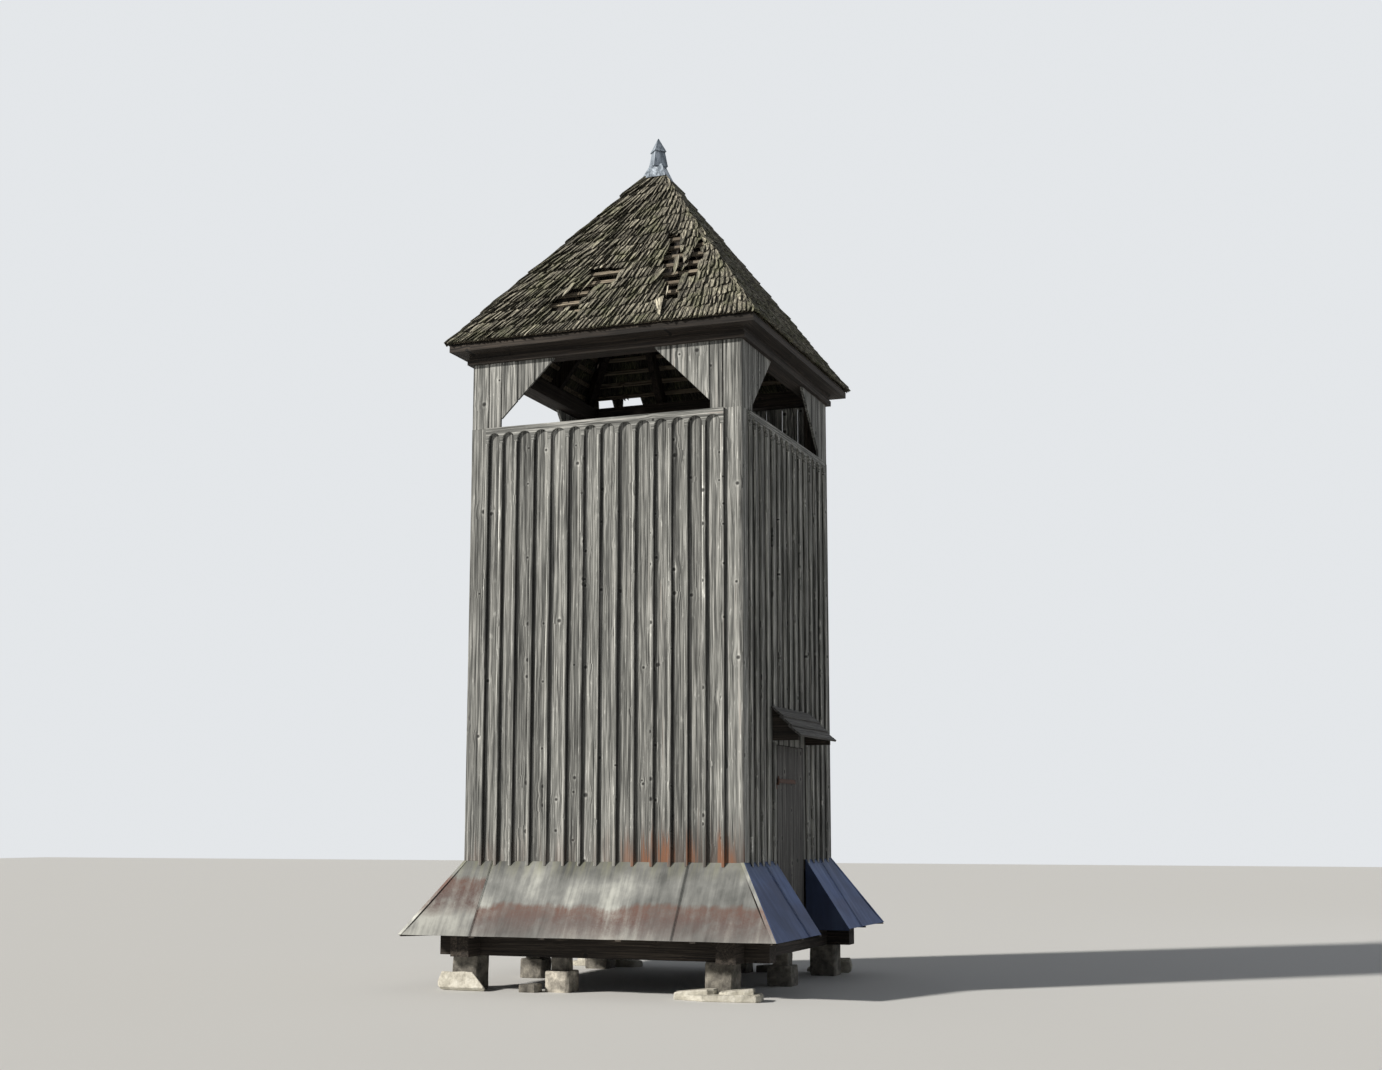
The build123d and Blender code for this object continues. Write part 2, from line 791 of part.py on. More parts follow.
# Strap hinges: an eye on each strap turns on a pin that stands on the wall
eye_radius = hinge_pin_radius + hinge_play + hinge_eye_wall
pin_out = half + strap_thickness / 2 + eye_radius
pin_along = -door_half_width - hinge_offset

strap_face = half + strap_thickness
strap_heights = (leaf_bottom + strap_inset, leaf_top - strap_inset)

with BuildPart() as door_straps:
    for height in strap_heights:
        z0 = height - strap_width / 2
        z1 = height + strap_width / 2
        side_timber(right, -leaf_half, pin_along + strap_length, half, strap_face, z0, z1)
        side_timber(right, pin_along, -leaf_half, half + strap_thickness / 2, strap_face, z0, z1)
        with BuildSketch(Plane.XY.offset(z0)):
            with Locations((pin_out, pin_along)):
                Circle(eye_radius)
        extrude(amount=strap_width)
        with BuildSketch(Plane.XY.offset(z0)):
            with Locations((pin_out, pin_along)):
                Circle(hinge_pin_radius + hinge_play)
        extrude(amount=strap_width, mode=Mode.SUBTRACT)
save("door_straps", door_straps.part)

with BuildPart() as hinge_pins:
    for height in strap_heights:
        eye_foot = height - strap_width / 2
        arm_top = eye_foot - hinge_play
        with BuildSketch(Plane.XY.offset(arm_top - hinge_arm)):
            with Locations((pin_out, pin_along)):
                Circle(hinge_pin_radius)
        extrude(amount=hinge_pin_length)
        side_timber(
            right,
            pin_along - hinge_pin_radius,
            pin_along + hinge_pin_radius,
            half,
            pin_out,
            arm_top - hinge_arm,
            arm_top,
        )
        side_timber(
            right,
            pin_along - pintle_plate,
            pin_along + hinge_pin_radius,
            half,
            half + strap_thickness / 2,
            arm_top - pintle_plate - hinge_arm,
            arm_top,
        )
save("hinge_pins", hinge_pins.part)

# Canopy over the door: lapped boards on two brackets
canopy_angle = atan(canopy_drop / canopy_reach)
canopy_length = canopy_reach / cos(canopy_angle)


def on_canopy(down, proud):
    """Point of the canopy's section, by distance down its slope and height above it"""
    out = half + down * cos(canopy_angle) + proud * sin(canopy_angle)
    return (out, canopy_top - down * sin(canopy_angle) + proud * cos(canopy_angle))


with BuildPart() as canopy_roof:
    step = (canopy_length - canopy_lap) / canopy_boards
    for i in range(canopy_boards):
        head, foot = i * step, (i + 1) * step + canopy_lap
        with BuildSketch(section_plane(right)):
            Polygon(
                on_canopy(head, 0),
                on_canopy(foot, canopy_board),
                on_canopy(foot, canopy_board * 2),
                on_canopy(head, canopy_board),
            )
        extrude(amount=canopy_half, both=True)
save("canopy_roof", canopy_roof.part)

bracket_end = canopy_length - canopy_lap
with BuildPart() as canopy_brackets:
    for along in (canopy_bracket_inset - canopy_half, canopy_half - canopy_bracket_inset):
        with BuildSketch(section_plane(right, along)):
            Polygon(
                (half, canopy_top),
                on_canopy(bracket_end, 0),
                (on_canopy(bracket_end, 0)[0], canopy_top - canopy_drop - canopy_bracket / 2),
                (half, canopy_top - canopy_drop - canopy_bracket / 2),
            )
        extrude(amount=canopy_bracket / 2, both=True)
save("canopy_brackets", canopy_brackets.part)
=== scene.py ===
import bpy
import math
from functools import partial
import numpy as np
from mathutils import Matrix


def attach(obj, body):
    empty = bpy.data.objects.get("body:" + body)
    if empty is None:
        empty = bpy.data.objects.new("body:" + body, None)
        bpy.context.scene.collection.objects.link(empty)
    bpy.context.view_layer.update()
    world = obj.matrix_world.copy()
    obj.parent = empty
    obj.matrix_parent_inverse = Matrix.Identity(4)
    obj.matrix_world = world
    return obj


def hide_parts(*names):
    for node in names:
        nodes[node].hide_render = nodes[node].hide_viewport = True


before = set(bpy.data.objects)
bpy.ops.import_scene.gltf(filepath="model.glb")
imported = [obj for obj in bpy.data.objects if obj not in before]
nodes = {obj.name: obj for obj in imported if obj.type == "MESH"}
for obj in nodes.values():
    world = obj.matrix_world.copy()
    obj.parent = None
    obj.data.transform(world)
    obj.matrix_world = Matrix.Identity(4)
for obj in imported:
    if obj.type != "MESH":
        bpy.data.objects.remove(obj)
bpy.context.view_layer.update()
print("frame loaded:", len(nodes), "nodes")

# sizes shared by several pieces, in metres, as the frame has them
tower = {
    "half": 1.5, "board": 0.028, "boardsBottom": 1.27, "boardsTop": 6.43,
    "openingSill": 5.735, "openingHalf": 1.16, "openingHead": 5.825,
    # widths of a wall's boards, as shares of an even width
    "boardShares": (
        1.04, 0.88, 0.89, 1.04, 1.01, 1.08, 0.91, 0.96, 1.07, 1.00, 1.07, 1.01, 0.93, 1.00, 1.02, 1.08,
    ),
    "battenWidth": 0.036, "battenDepth": 0.03,
    "apronReach": 0.48, "apronDrop": 0.73,
}
half = tower["half"]
frameFace = half - tower["board"]
boardsBottom, openingSill = tower["boardsBottom"], tower["openingSill"]
apronSlope = tower["apronDrop"] / tower["apronReach"]
shares = np.array(tower["boardShares"])
joints = -half + 2 * half * np.cumsum(shares)[:-1] / shares.sum()
sideNames = ("front", "right", "back", "left")
sidePairs = (((0, 2), "front_back"), ((3, 1), "left_right"))
wallReach = (half, frameFace, half, frameFace)


# Axes of side k, turned by a = k quarters: along (cos a, sin a, 0), out (sin a, -cos a, 0), up (0, 0, 1)
def sideAxes(k):
    a = k * math.pi / 2
    return np.array([[math.cos(a), math.sin(a), 0.0], [math.sin(a), -math.cos(a), 0.0], [0.0, 0.0, 1.0]])


# mesh building

# n closed tubes from points[n, station, ring]: quads between the rings, and a flat cap at each end
def tube(points, grain=None, tone=0.5, flip=False):
    index = np.arange(points[..., 0].size).reshape(points.shape[:3])
    after = np.roll(index, -1, axis=2)
    quads = np.stack([index[:, :-1], after[:, :-1], after[:, 1:], index[:, 1:]], axis=-1).reshape(-1, 4)
    caps = np.concatenate([index[:, 0, ::-1], index[:, -1]])
    if flip:
        quads, caps = quads[:, ::-1], caps[:, ::-1]
    return {
        "points": points.reshape(-1, 3),
        "faces": quads.tolist() + caps.tolist(),
        "grain": (points if grain is None else grain).reshape(-1, 3),
        "tone": np.broadcast_to(tone, points.shape[:3]).reshape(-1),
    }


# Bars, n at once, on the axes across, out and along: point(s, k) = (x_k + sway(s), y_k, low_k + s rise_k),
# where x_k, y_k go round a rectangle with cut corners and two more points on its outer face, and sway is the
# sum of two sines of random phase; tone(k) = the bar's tone + shade_k
def bars(
    axes, x0, x1, y0, y1, low, high, seed, stations, sway=0.0, chamfer=0.003, rim=0.03, tone=None, shade=0.0,
):
    x0, x1, y0, y1 = np.broadcast_arrays(*np.atleast_1d(x0, x1, y0, y1))
    n = len(x0)
    c = np.minimum(chamfer, 0.4 * np.minimum(x1 - x0, y1 - y0))
    r = np.minimum(rim, 0.3 * (x1 - x0))
    px = np.stack([x0 + c, x1 - c, x1, x1, x1 - c, x1 - r, x0 + r, x0 + c, x0, x0], axis=1)
    py = np.stack([y0, y0, y0 + c, y1 - c, y1, y1, y1, y1, y1 - c, y0 + c], axis=1)
    ends = []
    for end in (low, high):
        end = end(px, py) if callable(end) else np.reshape(end, (-1, 1))
        ends.append(np.broadcast_to(end, px.shape)[:, None, :])
    s = np.linspace(0, 1, stations)
    rng = np.random.default_rng(seed)
    phase = rng.uniform(0, 2 * math.pi, (4, n, 1))  # the last two are spare
    dx = sway * (np.sin(4.4 * s + phase[0]) + 0.5 * np.sin(11.9 * s + phase[1]))
    z = ends[0] + s[:, None] * (ends[1] - ends[0])
    local = np.stack(np.broadcast_arrays(px[:, None, :] + dx[:, :, None], py[:, None, :], z), axis=-1)
    tones = rng.uniform(0.3, 0.7, n) if tone is None else np.broadcast_to(tone, n)
    grain = local + rng.uniform(-20, 20, (n, 1, 1, 3))
    tones = tones[:, None, None] + np.asarray(shade)
    return tube(local @ np.stack(axes), grain, tones, np.linalg.det(axes) < 0)


# Plank cut to an outline, anticlockwise as seen from outside: its points (x, z) at depths y0 and y1
def cutPlank(axes, outline, y0, y1, tone, seed):
    n = len(outline)
    local = np.concatenate([np.insert(np.array(outline), 1, y, axis=1) for y in (y0, y1)])
    i = np.arange(n)
    ring = np.stack([i, (i + 1) % n, (i + 1) % n + n, i + n], axis=1)
    return {
        "points": local @ axes,
        "faces": ring.tolist() + [i[::-1].tolist(), (i + n).tolist()],
        "grain": local[:, ::-1] + np.random.default_rng(seed).uniform(-20, 20, 3),
        "tone": np.full(2 * n, tone),
    }


def addObject(name, data):
    thing = bpy.data.objects.new(name, data)
    bpy.context.scene.collection.objects.link(thing)
    return thing


# One object from several parts, with the grain coordinates and the tone as attributes
def makePiece(name, material, parts, replaced, body="tower"):
    faces, start = [], 0
    for part in parts:
        faces += [[v + start for v in face] for face in part["faces"]]
        start += len(part["points"])
    joined = {key: np.concatenate([part[key] for part in parts]) for key in ("points", "grain", "tone")}
    mesh = bpy.data.meshes.new(name)
    mesh.from_pydata(joined["points"].tolist(), [], faces)
    for key, kind, field in (("grain", "FLOAT_VECTOR", "vector"), ("tone", "FLOAT", "value")):
        values = joined[key].astype(np.float32).ravel()
        mesh.attributes.new(key, kind, "POINT").data.foreach_set(field, values)
    mesh.materials.append(material)
    mesh.update()
    piece = addObject(name, mesh)
    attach(piece, body)
    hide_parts(replaced)
    return piece


def bevel(piece, width):
    modifier = piece.modifiers.new("wornEdges", "BEVEL")
    modifier.width = width
    modifier.segments = 2
    modifier.limit_method = "ANGLE"
    modifier.angle_limit = math.radians(40)


# materials

# sRGB to linear: c / 12.92 up to 0.04045, else ((c + 0.055) / 1.055) ** 2.4
def linear(code):
    channels = [int(code[i:i + 2], 16) / 255 for i in (1, 3, 5)]
    return [c / 12.92 if c <= 0.04045 else ((c + 0.055) / 1.055) ** 2.4 for c in channels] + [1.0]


# Sets a node's inputs, by name or number or as a tuple in their order, and links those that are given a
# socket or a node, by its first output
def setInputs(node, inputs):
    for key, value in inputs.items() if isinstance(inputs, dict) else enumerate(inputs):
        if isinstance(value, bpy.types.Node):
            value = value.outputs[0]
        if isinstance(value, bpy.types.NodeSocket):
            node.id_data.links.new(value, node.inputs[key])
        else:
            node.inputs[key].default_value = value


# Adds a node with its inputs, its operation, the colours of its ramp and its other settings
def addNode(tree, kind, inputs=(), operation=None, stops=None, **settings):
    node = tree.nodes.new("ShaderNode" + kind)
    if operation:
        node.operation = operation
    for key, value in settings.items():
        setattr(node, key, value)
    setInputs(node, inputs)
    if stops:
        elements = node.color_ramp.elements
        while len(elements) < len(stops):
            elements.new(0.5)
        for element, (place, code) in zip(elements, stops.items()):
            element.position = place
            element.color = linear(code)
    return node


# Noise drawn out one way: fractal noise at vector * scale + shift, its flecks about 1 / scale metres long
def drawnNoise(add, vector, scale, detail, roughness, shift=(0, 0, 0)):
    place = add("Mapping", {"Vector": vector, "Location": shift, "Scale": scale})
    return add("TexNoise", {"Vector": place, "Scale": 1.0, "Detail": detail, "Roughness": roughness})


# what a material is drawn by: the place on the object, the place on each bar or sheet, and its tone
sources = {
    "place": ("TexCoord", "Object", {}),
    "grain": ("Attribute", "Vector", {"attribute_name": "grain"}),
    "tone": ("Attribute", "Fac", {"attribute_name": "tone"}),
}


# A new material, the function that adds its nodes, and what it is drawn by
def newMaterial(name, *wanted):
    material = bpy.data.materials.new(name)
    material.use_nodes = True
    add = partial(addNode, material.node_tree)
    chosen = (sources[key] for key in wanted)
    return material, add, *(add(kind, **settings).outputs[socket] for kind, socket, settings in chosen)


# Sets the shader's inputs and its relief, as layers of (height, strength, depth in metres)
def finish(material, inputs, *heights):
    tree = material.node_tree
    normal = {}
    for height, strength, depth in heights:
        bump = addNode(tree, "Bump", {"Height": height, "Strength": strength, "Distance": depth, **normal})
        normal = {"Normal": bump}
    setInputs(tree.nodes["Principled BSDF"], {**inputs, **normal})
    return material


# Weathered softwood: sawn boards turned grey by sun and rain, with fine growth rings and small knots
woodLooks = {
    "boards": ("#2E2F2E", "#7C7D7A", "#D0D0CB"),  # dark, middle and light, as in all of these
    "door": ("#2E2D2C", "#504F4D", "#7A7875"),
    # frame timbers: dark old wood, darkened further with painted shade, as most stand inside and under the
    # apron
    "frame": ("#16120F", "#2E2822", "#4F473F"),
    # eave boards: dark brown wood, darkened further with painted shade of the shingles' overhang
    "eaves": ("#120F0D", "#29231E", "#483F37"),
    "laths": ("#4A4136", "#857A6A", "#B8AD98"),
}
grainTurns = {"X": (0, math.pi / 2, 0), "Y": (math.pi / 2, 0, 0), "Z": (0, 0, 0)}
knotShare = 0.8  # a knot only in a cell whose chance is above this
knotShades = {0.045: "#5A5A5A", 0.085: "#A8A8A8", 0.115: "#FFFFFF", 0.23: "#DEDEDE"}  # outwards


def woodMaterial(name, kind, along=None):
    if along:  # a frame timber, which has no grain coordinates of its own
        material, add, place = newMaterial(name, "place")
        local = add("Mapping", {"Vector": place, "Rotation": grainTurns[along]})
        tone = add("TexNoise", {"Vector": place, "Scale": 1.7, "Detail": 1.0})
    else:
        material, add, place, local, tone = newMaterial(name, "place", "grain", "tone")
    # knots 20 to 45 mm across, in a fifth of the cells of 180 mm on the face, push the grain aside
    split = add("SeparateXYZ", (local,))
    face = add("CombineXYZ", (split, split.outputs["Z"]))
    knots = add("TexVoronoi", {"Vector": face, "Scale": 5.5}, voronoi_dimensions="2D")
    chance = add("SeparateXYZ", (knots.outputs["Color"],))
    gate = add("Math", (chance, knotShare), "GREATER_THAN")
    size = add("MapRange", (chance, knotShare, 1.0, 0.6, 1.4))
    distance = add("Math", (knots, size), "DIVIDE")
    near = add("MapRange", (distance, 0.0, 0.5, 0.5, 0.0))
    near = add("Math", (near, gate), "MULTIPLY")
    away = add("VectorMath", (face, knots.outputs["Position"]), "SUBTRACT")
    push = add("VectorMath", (away, (1, 0, 0)), "MULTIPLY")
    push = add("VectorMath", {0: push, "Scale": near}, "SCALE")
    bent = add("VectorMath", (local, push), "SUBTRACT")
    # streaks 22 mm wide, rings 4 mm, cracks 12 mm, pale flecks 24 by 110 mm
    streaks = drawnNoise(add, bent, (46, 46, 0.8), 4.0, 0.6)
    rings = drawnNoise(add, bent, (230, 230, 3.5), 2.0, 0.5)
    cracks = drawnNoise(add, bent, (85, 85, 1.6), 2.0, 0.4, (3, 5, 7))
    flecks = drawnNoise(add, bent, (42, 42, 9), 3.0, 0.5, (9, 1, 4))
    patches = add("TexNoise", {"Vector": place, "Scale": 1.1, "Detail": 3.0, "Roughness": 0.5})
    cracks = add("MapRange", (cracks, 0.61, 0.67, 1.0, 0.35))
    flecks = add("MapRange", (flecks, 0.63, 0.72, 1.0, 1.6))
    blend = add("Math", (rings, 0.42, -0.02), "MULTIPLY_ADD")
    blend = add("Math", (streaks, 0.62, blend), "MULTIPLY_ADD")
    colour = add("ValToRGB", (blend,), stops=dict(zip((0.36, 0.5, 0.65), woodLooks[kind])))
    # a knot is dark, with a pale ring of raised wood
    ring = add("ValToRGB", (distance,), stops=knotShades)
    ring = add("Math", (ring, 1.36, -1.0), "MULTIPLY_ADD")
    ring = add("Math", (ring, gate, 1.0), "MULTIPLY_ADD")
    level = add("MapRange", (tone, -0.3, 1.4, 0.07, 1.94))
    wet = add("MapRange", (patches, 0.3, 0.7, 0.86, 1.1))
    for factor in (wet, cracks, flecks, ring):
        level = add("Math", (level, factor), "MULTIPLY")
    colour = add("VectorMath", {0: colour, "Scale": level}, "SCALE")
    if kind == "boards":
        colour = footStain(add, colour, place, streaks)
    rough = add("MapRange", (blend, 0.3, 0.7, 0.92, 0.76))
    return finish(
        material, {"Base Color": colour, "Roughness": rough, "IOR": 1.45},
        (blend, 0.55, 0.005), (ring, 0.3, 0.003), (cracks, 0.5, 0.003),
    )


# Damp boards over the front's apron, most to the right: dark brown, and orange where the grey has worn off
stains = {
    "front": -1.47,
    "damp": (1.85, "#514640", 0.8),  # height by which it fades out, colour, amount
    "bare": (1.68, "#895D43", 0.85),
}


def footStain(add, colour, place, streaks):
    cut = add("SeparateXYZ", (place,))
    right = add("MapRange", (cut, 0.0, 0.5, 0.15, 1.0))
    onFront = add("Math", (cut.outputs["Y"], stains["front"]), "LESS_THAN")
    where = add("Math", (right, onFront), "MULTIPLY")
    highlightShadeAndWear = add("MapRange", (drawnNoise(add, place, (6.5, 0, 0.6), 3.0, 0.6), 0.46, 0.56))
    for (top, code, amount), share in ((stains["damp"], 1.0), (stains["bare"], highlightShadeAndWear)):
        low = add("MapRange", (cut.outputs["Z"], boardsBottom, top, 0.3, -0.3))
        ragged = add("Math", (streaks, 1.6, low), "MULTIPLY_ADD")
        reach = add("MapRange", (ragged, 0.72, 1.08, 0.0, amount))
        factor = add("Math", (reach, where), "MULTIPLY")
        factor = add("Math", (factor, share), "MULTIPLY", use_clamp=True)
        colour = add("Mix", {0: factor, 6: colour, 7: linear(code)}, data_type="RGBA").outputs[2]
    return colour


# Split softwood shingles: silver-brown, with torn fibres 8 mm wide, edges darkened with painted shade and
# olive moss
def shingleMaterial(name):
    material, add, place, local, tone = newMaterial(name, "place", "grain", "tone")
    fibres = drawnNoise(add, local, (130, 130, 5), 4.0, 0.6)
    colour = add("ValToRGB", (fibres,), stops={0.32: "#201F1B", 0.47: "#625E54", 0.62: "#B9B4A2"})
    level = add("MapRange", (tone, 0.0, 2.0, 0.25, 3.25))
    colour = add("VectorMath", {0: colour, "Scale": level}, "SCALE")
    patch = add("TexNoise", {"Vector": place, "Scale": 3.1, "Detail": 7.0, "Roughness": 0.7})
    moss = add("MapRange", (patch, 0.47, 0.62, 0.0, 0.6))
    mossColour = add("ValToRGB", (fibres,), stops={0.33: "#24261A", 0.52: "#60634A", 0.68: "#A3A67E"})
    colour = add("Mix", {0: moss, 6: colour, 7: mossColour}, data_type="RGBA").outputs[2]
    return finish(material, {"Base Color": colour, "Roughness": 0.92, "IOR": 1.4}, (fibres, 0.9, 0.006))


# Galvanised steel sheet of the apron, by (along, through, down) of each side: dull zinc with runs, a band
# of brown rust where the zinc has gone, higher left of the first seam, lichen along the upper edge, and
# darker along the upper edge, under the boards
sheetLooks = {
    "sunny": {
        "dull": "#525351", "zinc": "#7A7B78", "pale": "#A6A7A1", "lichen": "#6C6C54",
        "rust": "#5D4D4A", "fresh": "#6E5146", "rustLevel": 0.95,
    },
    # the door side's sheets: the same zinc, darkened with painted shade and tinted with a painted blue
    # reflection of the sky
    "shaded": {
        "dull": "#2D3D5E", "zinc": "#3E5077", "pale": "#53668D", "lichen": "#566478",
        "rust": "#504E5B", "fresh": "#5B5256", "rustLevel": 0.25,
    },
}


def sheetMaterial(name, look, seam):
    look = sheetLooks[look]
    material, add, place, local, tone = newMaterial(name, "place", "grain", "tone")
    cut = add("SeparateXYZ", (local,))
    down = cut.outputs["Z"]
    runs = drawnNoise(add, local, (15, 15, 1.6), 6.0, 0.62)
    cloud, blots, speck = (
        add("TexNoise", {"Vector": place, "Scale": scale, "Detail": detail, "Roughness": rough})
        for scale, detail, rough in ((1.8, 5.0, 0.55), (6.0, 5.0, 0.6), (52.0, 3.0, 0.6))
    )
    mottle = add("Math", (cloud, 0.7), "MULTIPLY")
    mottle = add("Math", (runs, 0.3, mottle), "MULTIPLY_ADD")
    colour = add("ValToRGB", (mottle,), stops={0.37: look["dull"], 0.5: look["zinc"], 0.62: look["pale"]})
    # rust: a sharp wavy upper edge, fading downwards; left of the first seam 0.3 m higher, and fading later
    first = add("Math", (cut, seam), "LESS_THAN")
    waves = add("Math", (cloud, 0.3, -0.15), "MULTIPLY_ADD")
    waves = add("Math", (runs, 0.12, waves), "MULTIPLY_ADD")
    upper = add("Math", (first, -0.3, 0.42), "MULTIPLY_ADD")
    upper = add("Math", (upper, waves), "ADD")
    below = add("Math", (down, upper), "SUBTRACT")
    span = add("Math", (first, -0.02, 0.44), "MULTIPLY_ADD")
    fade = add("Math", (below, span), "DIVIDE")
    hold = add("Math", (first, 0.3, 0.4), "MULTIPLY_ADD")
    rust = add("MapRange", (below, 0.0, 0.06))
    for number, factor in enumerate((
        add("MapRange", (fade, hold, 1.0, look["rustLevel"], 0.08)),
        add("MapRange", (blots, 0.33, 0.52, 0.5)),
        add("MapRange", (runs, 0.38, 0.62, 1.1, 0.75)),
        add("MapRange", (speck, 0.3, 0.6, 0.72)),
    )):
        rust = add("Math", (rust, factor), "MULTIPLY", use_clamp=number == 3)
    fresh = add("MapRange", (below, 0.04, 0.22, 0.8, 0.1))
    high = add("MapRange", (down, 0.0, 0.22, 0.7, 0.0))
    lichen = add("MapRange", (runs, 0.42, 0.6))
    lichen = add("Math", (high, lichen), "MULTIPLY", use_clamp=True)
    rustColour = add("Mix", {0: fresh, 6: linear(look["rust"]), 7: linear(look["fresh"])}, data_type="RGBA")
    for factor, over in ((rust, rustColour.outputs[2]), (lichen, linear(look["lichen"]))):
        colour = add("Mix", {0: factor, 6: colour, 7: over}, data_type="RGBA").outputs[2]
    level = add("MapRange", (tone, 0.0, 1.0, 0.25, 1.75))
    # darker along the upper edge, under the boards, in ragged runs
    darkerAtTop = add("Math", (runs, 0.3, down), "MULTIPLY_ADD")
    darkerAtTop = add("MapRange", (darkerAtTop, 0.15, 0.38, 0.75, 1.0))
    level = add("Math", (level, darkerAtTop), "MULTIPLY")
    colour = add("VectorMath", {0: colour, "Scale": level}, "SCALE")
    shine = add("MapRange", (rust, 0.0, 1.0, 0.4, 0.0))
    rough = add("MapRange", (rust, 0.0, 1.0, 0.66, 0.88))
    return finish(
        material, {"Base Color": colour, "Metallic": shine, "Roughness": rough},
        (cloud, 0.2, 0.02), (speck, 0.1, 0.003),
    )


# Beaten zinc of the roof's cap: blue-grey, streaked downwards, with shallow dents 60 mm across
def capMaterial(name):
    material, add, place = newMaterial(name, "place")
    runs = drawnNoise(add, place, (30, 30, 4), 5.0, 0.6)
    dents = add("TexNoise", {"Vector": place, "Scale": 17.0, "Detail": 2.0})
    colour = add("ValToRGB", (runs,), stops={0.35: "#4B525A", 0.5: "#7D868F", 0.65: "#AAB2BB"})
    return finish(material, {"Base Color": colour, "Metallic": 0.6, "Roughness": 0.6}, (dents, 0.6, 0.02))


# Rough fieldstone and broken concrete: matt, with pits 18 mm apart, pale where it is freshly broken
stoneLooks = {
    "field": ("#4F4C47", "#7C7870", "#A39E93"),
    "slab": ("#A39F93", "#C2BEB1", "#DCD9CE"),
}


def stoneMaterial(name, kind):
    material, add, place, tone = newMaterial(name, "place", "tone")
    blotch = add("TexNoise", {"Vector": place, "Scale": 9.0, "Detail": 8.0, "Roughness": 0.66})
    pits = add("TexVoronoi", {"Vector": place, "Scale": 55.0})
    colour = add("ValToRGB", (blotch,), stops=dict(zip((0.33, 0.5, 0.66), stoneLooks[kind])))
    level = add("MapRange", (tone, 0.0, 2.0, 0.5, 2.5))
    colour = add("VectorMath", {0: colour, "Scale": level}, "SCALE")
    relief = (blotch, 0.8, 0.03), (pits, 0.3, 0.004)
    return finish(material, {"Base Color": colour, "Roughness": 0.93}, *relief)


# Forged iron with a brown rust skin in scales 17 mm across
def ironMaterial(name):
    material, add, place = newMaterial(name, "place")
    scale = add("TexNoise", {"Vector": place, "Scale": 60.0, "Detail": 5.0, "Roughness": 0.65})
    colour = add("ValToRGB", (scale,), stops={0.35: "#231C19", 0.52: "#4B352B", 0.68: "#6E4A38"})
    return finish(material, {"Base Color": colour, "Metallic": 0.6, "Roughness": 0.7}, (scale, 0.5, 0.002))


boardWood = woodMaterial("weatheredBoards", "boards")
doorWood = woodMaterial("doorBoards", "door")
frameWood = {axis: woodMaterial("frameTimberWithPaintedShade" + axis, "frame", axis) for axis in "XYZ"}
eaveWood = {axis: woodMaterial("eaveBoardsWithPaintedShade" + axis, "eaves", axis) for axis in "XY"}
lathWood = woodMaterial("sawnLaths", "laths", "X")
shingleWood = shingleMaterial("splitShingles")
sunnySheet = sheetMaterial("rustedZincSheet", "sunny", -1.18)
shadedSheet = sheetMaterial("zincSheetPaintedShadeAndSky", "shaded", -0.9)
capZinc = capMaterial("beatenZinc")
fieldStone = stoneMaterial("fieldstone", "field")
slabStone = stoneMaterial("brokenConcrete", "slab")
rustedIron = ironMaterial("forgedIron")
print("materials made")

# frame pieces that keep their own shape
dressed = (
    (frameWood["X"], "floor_boards sill_beams_long wall_girts opening_sill_rails"),
    (frameWood["X"], "apron_struts canopy_brackets"),
    (frameWood["Y"], "floor_joists sill_beams_cross"),
    (frameWood["Z"], "corner_posts door_jambs king_post hip_rafters jack_rafters apron_rafters"),
    (eaveWood["X"], "top_plates_long eave_boards_front_back"),
    (eaveWood["Y"], "top_plates_cross eave_boards_left_right"),
    (lathWood, "roof_laths"),
    (capZinc, "roof_cap"),
    (rustedIron, "door_straps hinge_pins"),
)
for material, names in dressed:
    for name in names.split():
        node = nodes[name]
        if not node.data.materials:
            node.data.materials.append(None)
        for slot in node.material_slots:
            slot.material = material

# wall boards
boards = {
    # added tone round a board: the batten's painted shadow and some dirt, black along its left edge
    "shadeAndDirt": (0, 0, 0, 0, -0.25, 0, 0, -0.85, -0.85, -0.85),
    "shadeAndDirtWidth": 0.036,
    "gap": 0.005, "gapMore": 0.004, "thin": 0.005,
    "foot": 0.006,  # how unevenly the feet are cut
    "tones": (0.26, 0.74),
    "doorHalf": 0.45, "doorHead": 2.44,
    "shortest": 0.01,  # narrowest strip that is left beside the door
}

for k, word in enumerate(sideNames):
    axes = sideAxes(k)
    rng = np.random.default_rng(40 + k)
    edges = np.array([-wallReach[k], *joints, wallReach[k]])
    gaps = boards["gap"] + boards["gapMore"] * rng.random(len(edges))
    gaps[[0, -1]] = 0
    x0, x1 = edges[:-1] + gaps[:-1] / 2, edges[1:] - gaps[1:] / 2
    face = half - boards["thin"] * rng.random(len(x0))
    tones = rng.uniform(*boards["tones"], len(x0))
    low = boardsBottom - boards["foot"] * rng.random(len(x0))
    shadeAndDirt = np.tile(boards["shadeAndDirt"], (len(x0), 1, 1))
    shadeAndDirt[0] = 0  # no batten at the corner
    form = {"stations": 9, "sway": 0.0004, "rim": boards["shadeAndDirtWidth"]}
    if word != "right":
        wall = bars(axes, x0, x1, frameFace, face, low, openingSill, 50 + k, tone=tones, shade=shadeAndDirt, **form)
        makePiece(word + "WallBoards", boardWood, [wall], word + "_wall")
        continue
    beside, over = [], []
    for a, b, outer, tone, foot, shade in zip(x0, x1, face, tones, low, shadeAndDirt):
        group = over if abs(a + b) / 2 < boards["doorHalf"] else beside
        pieces = [(group, a, b, frameFace, outer, boards["doorHead"], openingSill)]
        for c, d in ((a, min(b, -boards["doorHalf"])), (max(a, boards["doorHalf"]), b)):
            if d - c > boards["shortest"]:
                pieces.append((beside, c, d, frameFace, outer, foot, boards["doorHead"]))
        seed = int(1000 + 100 * a)
        for group, *ends in pieces:
            group.append(bars(axes, *ends, seed, tone=tone, shade=shade, **form))
    makePiece("rightWallBoards", boardWood, beside, "right_wall")
    makePiece("rightWallBoardsOverDoor", boardWood, over, "right_wall_over_door")
print("wall boards made")

